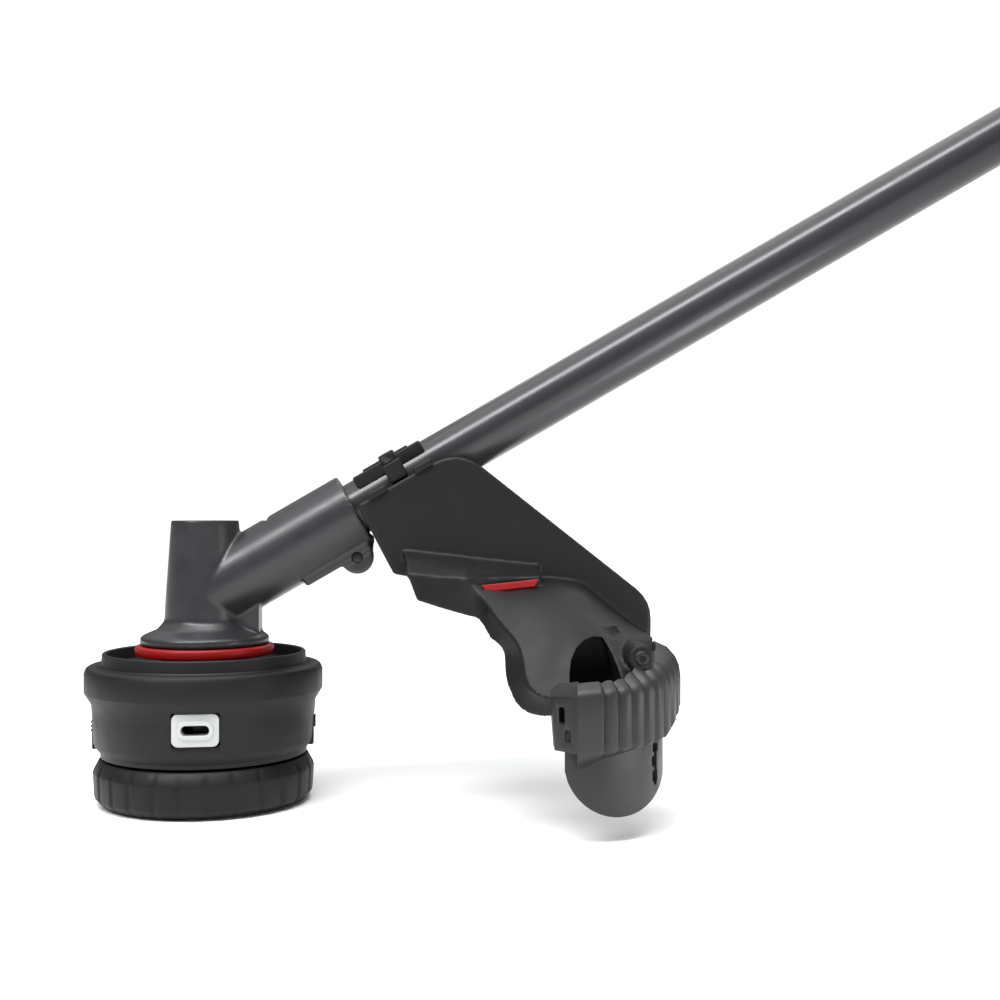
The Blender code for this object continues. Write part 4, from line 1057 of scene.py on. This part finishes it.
trigger_outline = [
    (1333.5, -15.5), (1333.5, -20.8), (1326, -26.5), (1318, -31.2), (1309, -34.2), (1298, -35.6),
    (1288, -35.3), (1280, -33.6), (1275.6, -30.2), (1274.6, -26.0), (1276, -21.5), (1320, -19.5),
    (1326.5, -15.5),
]
trigger = plate("trigger_lever", millimetres(trigger_outline), -7 * MM, 7 * MM)
cut(trigger, bar("hole", *mm(1.8, -20, 20), "Y", mm(1330, 0.0, -18), 24))
soften(trigger, 1.2 * MM, 3, 40.0)
lift(trigger)

lock_off = box("lock_off_key", mm(1288, -6, 15.6), mm(1318, 6, 24.2), 1.6 * MM, 4)
for step in range(5):
    start = (1294 + 4 * step) * MM
    cut(lock_off, box("groove", (start, -8 * MM, 23.4 * MM), (start + 1.6 * MM, 8 * MM, 26 * MM)))
soften(lock_off, 0.3 * MM, 2, 40.0)
lift(lock_off)

speed_key_section = [(7.0, 40), (7.0, 47.4), (6.4, 48.3), (5.0, 48.3), (4.4, 47.7)]
speed_key = turn("speed_key", millimetres(speed_key_section), 64, closed=False)
soften(speed_key, 0.25 * MM, 2)
settle(speed_key, swing_to_shaft() @ Matrix.Translation((1410 * MM, 0.0, 0.0)))

battery = box("battery_case", mm(1520.5, -40, -50), mm(1600, 40, 43), 7 * MM, 5)
cut(battery, box("pocket", mm(1544, -12, 33.5), mm(1566, 12, 50)))
for side in (-1, 1):
    for row in range(3):
        low, high = sorted(mm(side * 39.2, side * 45))
        start = (1540 + 15 * row) * MM
        cut(battery, box("rib", (start, low, -32 * MM), (start + 6 * MM, high, 24 * MM), 0.3 * MM))
soften(battery, 0.5 * MM, 2, 40.0)
lift(battery)
battery_key = box("battery_key", mm(1544.3, -11.7, 36.5), mm(1565.7, 11.7, 45.2),
                  1.4 * MM, 4)
lift(battery_key)

housing_screws = []
for number, (s, n) in enumerate(HOUSING_SCREWS, 1):
    screw = socket_screw(f"body_screw_{number}", 3.6 * MM, 45.3 * MM, 47.0 * MM, 1.7 * MM, -40 * MM)
    housing_screws.append(settle(screw, swing_to_shaft() @ Matrix.Translation(mm(s, 0.0, n))
                                 @ Matrix.Rotation(math.pi / 2, 4, "X")))

# %% [markdown]
# ## Dressing the pieces
# Each new piece rides on the body that it belongs to, stands for its plain twin in the frame, and
# takes a finish. The inner parts keep their frame meshes and only get a finish.

# %% Which piece stands for which node
FINISH_OF_SLOT = {
    "black_plastic": black_nylon, "grey_plastic": grey_nylon, "red_plastic": red_abs,
    "grip_rubber": grip_rubber, "eyelet_ceramic": glazed_alumina, "cast_case": cast_paint,
    "painted_tube": satin_tube, "steel": black_screw,
}


def dress(piece, body, node, slot, finish=None):
    piece.data.materials.clear()
    piece.data.materials.append(finish or FINISH_OF_SLOT[slot])
    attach(piece, body)
    if node:
        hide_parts(node)


dress(housing, "head", "spool_housing", "black_plastic")
dress(cap, "head", "bump_cap", "black_plastic")
dress(knob, "bump_spool", "bump_knob", "black_plastic")
dress(front_eyelet, "head", "eyelet_front", "eyelet_ceramic")
dress(rear_eyelet, "head", "eyelet_rear", "eyelet_ceramic")
dress(front_tab, "cap_latch_front", "latch_tab_front", "black_plastic")
dress(rear_tab, "cap_latch_rear", "latch_tab_rear", "black_plastic")
dress(spring, "head", "spool_spring", "steel", plated_steel)
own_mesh(spring)
dress(case, "root", "gear_case", "cast_case")
dress(collar, "root", "anti_wrap_collar", "red_plastic")
dress(tube, "root", "shaft_tube", "painted_tube")
dress(clamp, "root", "guard_clamp", "black_plastic")
dress(clamp_screws[0], "root", "guard_clamp_screw_left", "steel")
dress(clamp_screws[1], "root", "guard_clamp_screw_right", "steel")
dress(case_bolt, "root", "case_clamp_bolt", "steel")
dress(guard, "root", "guard_shell", "black_plastic")
dress(bumper, "root", "guard_bumper", "grey_plastic")
dress(skirt, "root", "guard_skirt", "grey_plastic")
dress(corner_screw, "root", "guard_corner_screw", "steel")
dress(marker, "root", None, "red_plastic")
dress(loop, "loop_handle", "front_handle", "grip_rubber")
dress(lower_clamp, "loop_handle", "handle_clamp", "black_plastic")
dress(handle_screw, "loop_handle", "handle_screw", "steel")
dress(handle_knob, "clamp_knob", "handle_knob", "black_plastic")
dress(housing_near, "root", "housing_left", "grey_plastic")
dress(housing_far, "root", "housing_right", "grey_plastic")
dress(ferrule, "root", "tube_ferrule", "grip_rubber")
dress(trigger, "trigger", "trigger", "red_plastic")
dress(lock_off, "lock_off", "lock_off_button", "red_plastic")
dress(speed_key, "speed_select", "speed_button", "black_plastic")
dress(battery, "battery", "battery_pack", "black_plastic")
dress(battery_key, "battery_release", "battery_latch", "red_plastic")
for number, screw in enumerate(housing_screws, 1):
    dress(screw, "root", f"housing_screw_{number}", "steel")

# %% Finishes for the inner parts
inner_finishes = {
    plated_steel: ["lower_bearing", "upper_bearing", "pinion_bearing", "line_cutter",
                   "line_cutter_screw", "trigger_pin", "motor_bearing_front",
                   "motor_bearing_rear", "spindle", "bevel_gear", "head_nut",
                   "pinion_gear", "drive_shaft", "motor_rotor"],
    grip_rubber: ["shaft_bush_1", "shaft_bush_2", "shaft_bush_3"],
    grey_nylon: ["spool", "cooling_fan"],
    black_nylon: ["switch_module"],
    cast_paint: ["motor_end_plate"],
    nylon_line: ["wound_line"],
    circuit_board: ["control_board"],
    copper_winding: ["motor_stator"],
}
for finish, names in inner_finishes.items():
    for name in names:
        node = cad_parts[name]
        node.data.materials.clear()
        node.data.materials.append(finish)

# %% [markdown]
# ## The floor
# A plain pale floor, wide enough that its far edge melts into the pale surround.

# %% Floor
bpy.ops.object.select_all(action="DESELECT")
bpy.ops.mesh.primitive_plane_add(size=40.0, location=(0.0, 0.0, -0.5 * MM))
floor = bpy.context.object
floor.name = "floor"
settle(floor)
pale_floor = surface("matt_painted_board", "#FAFAFA", "#FBFBFB", 0.8, 3.0, 0.01, patch_mm=400.0)
floor.data.materials.append(pale_floor)
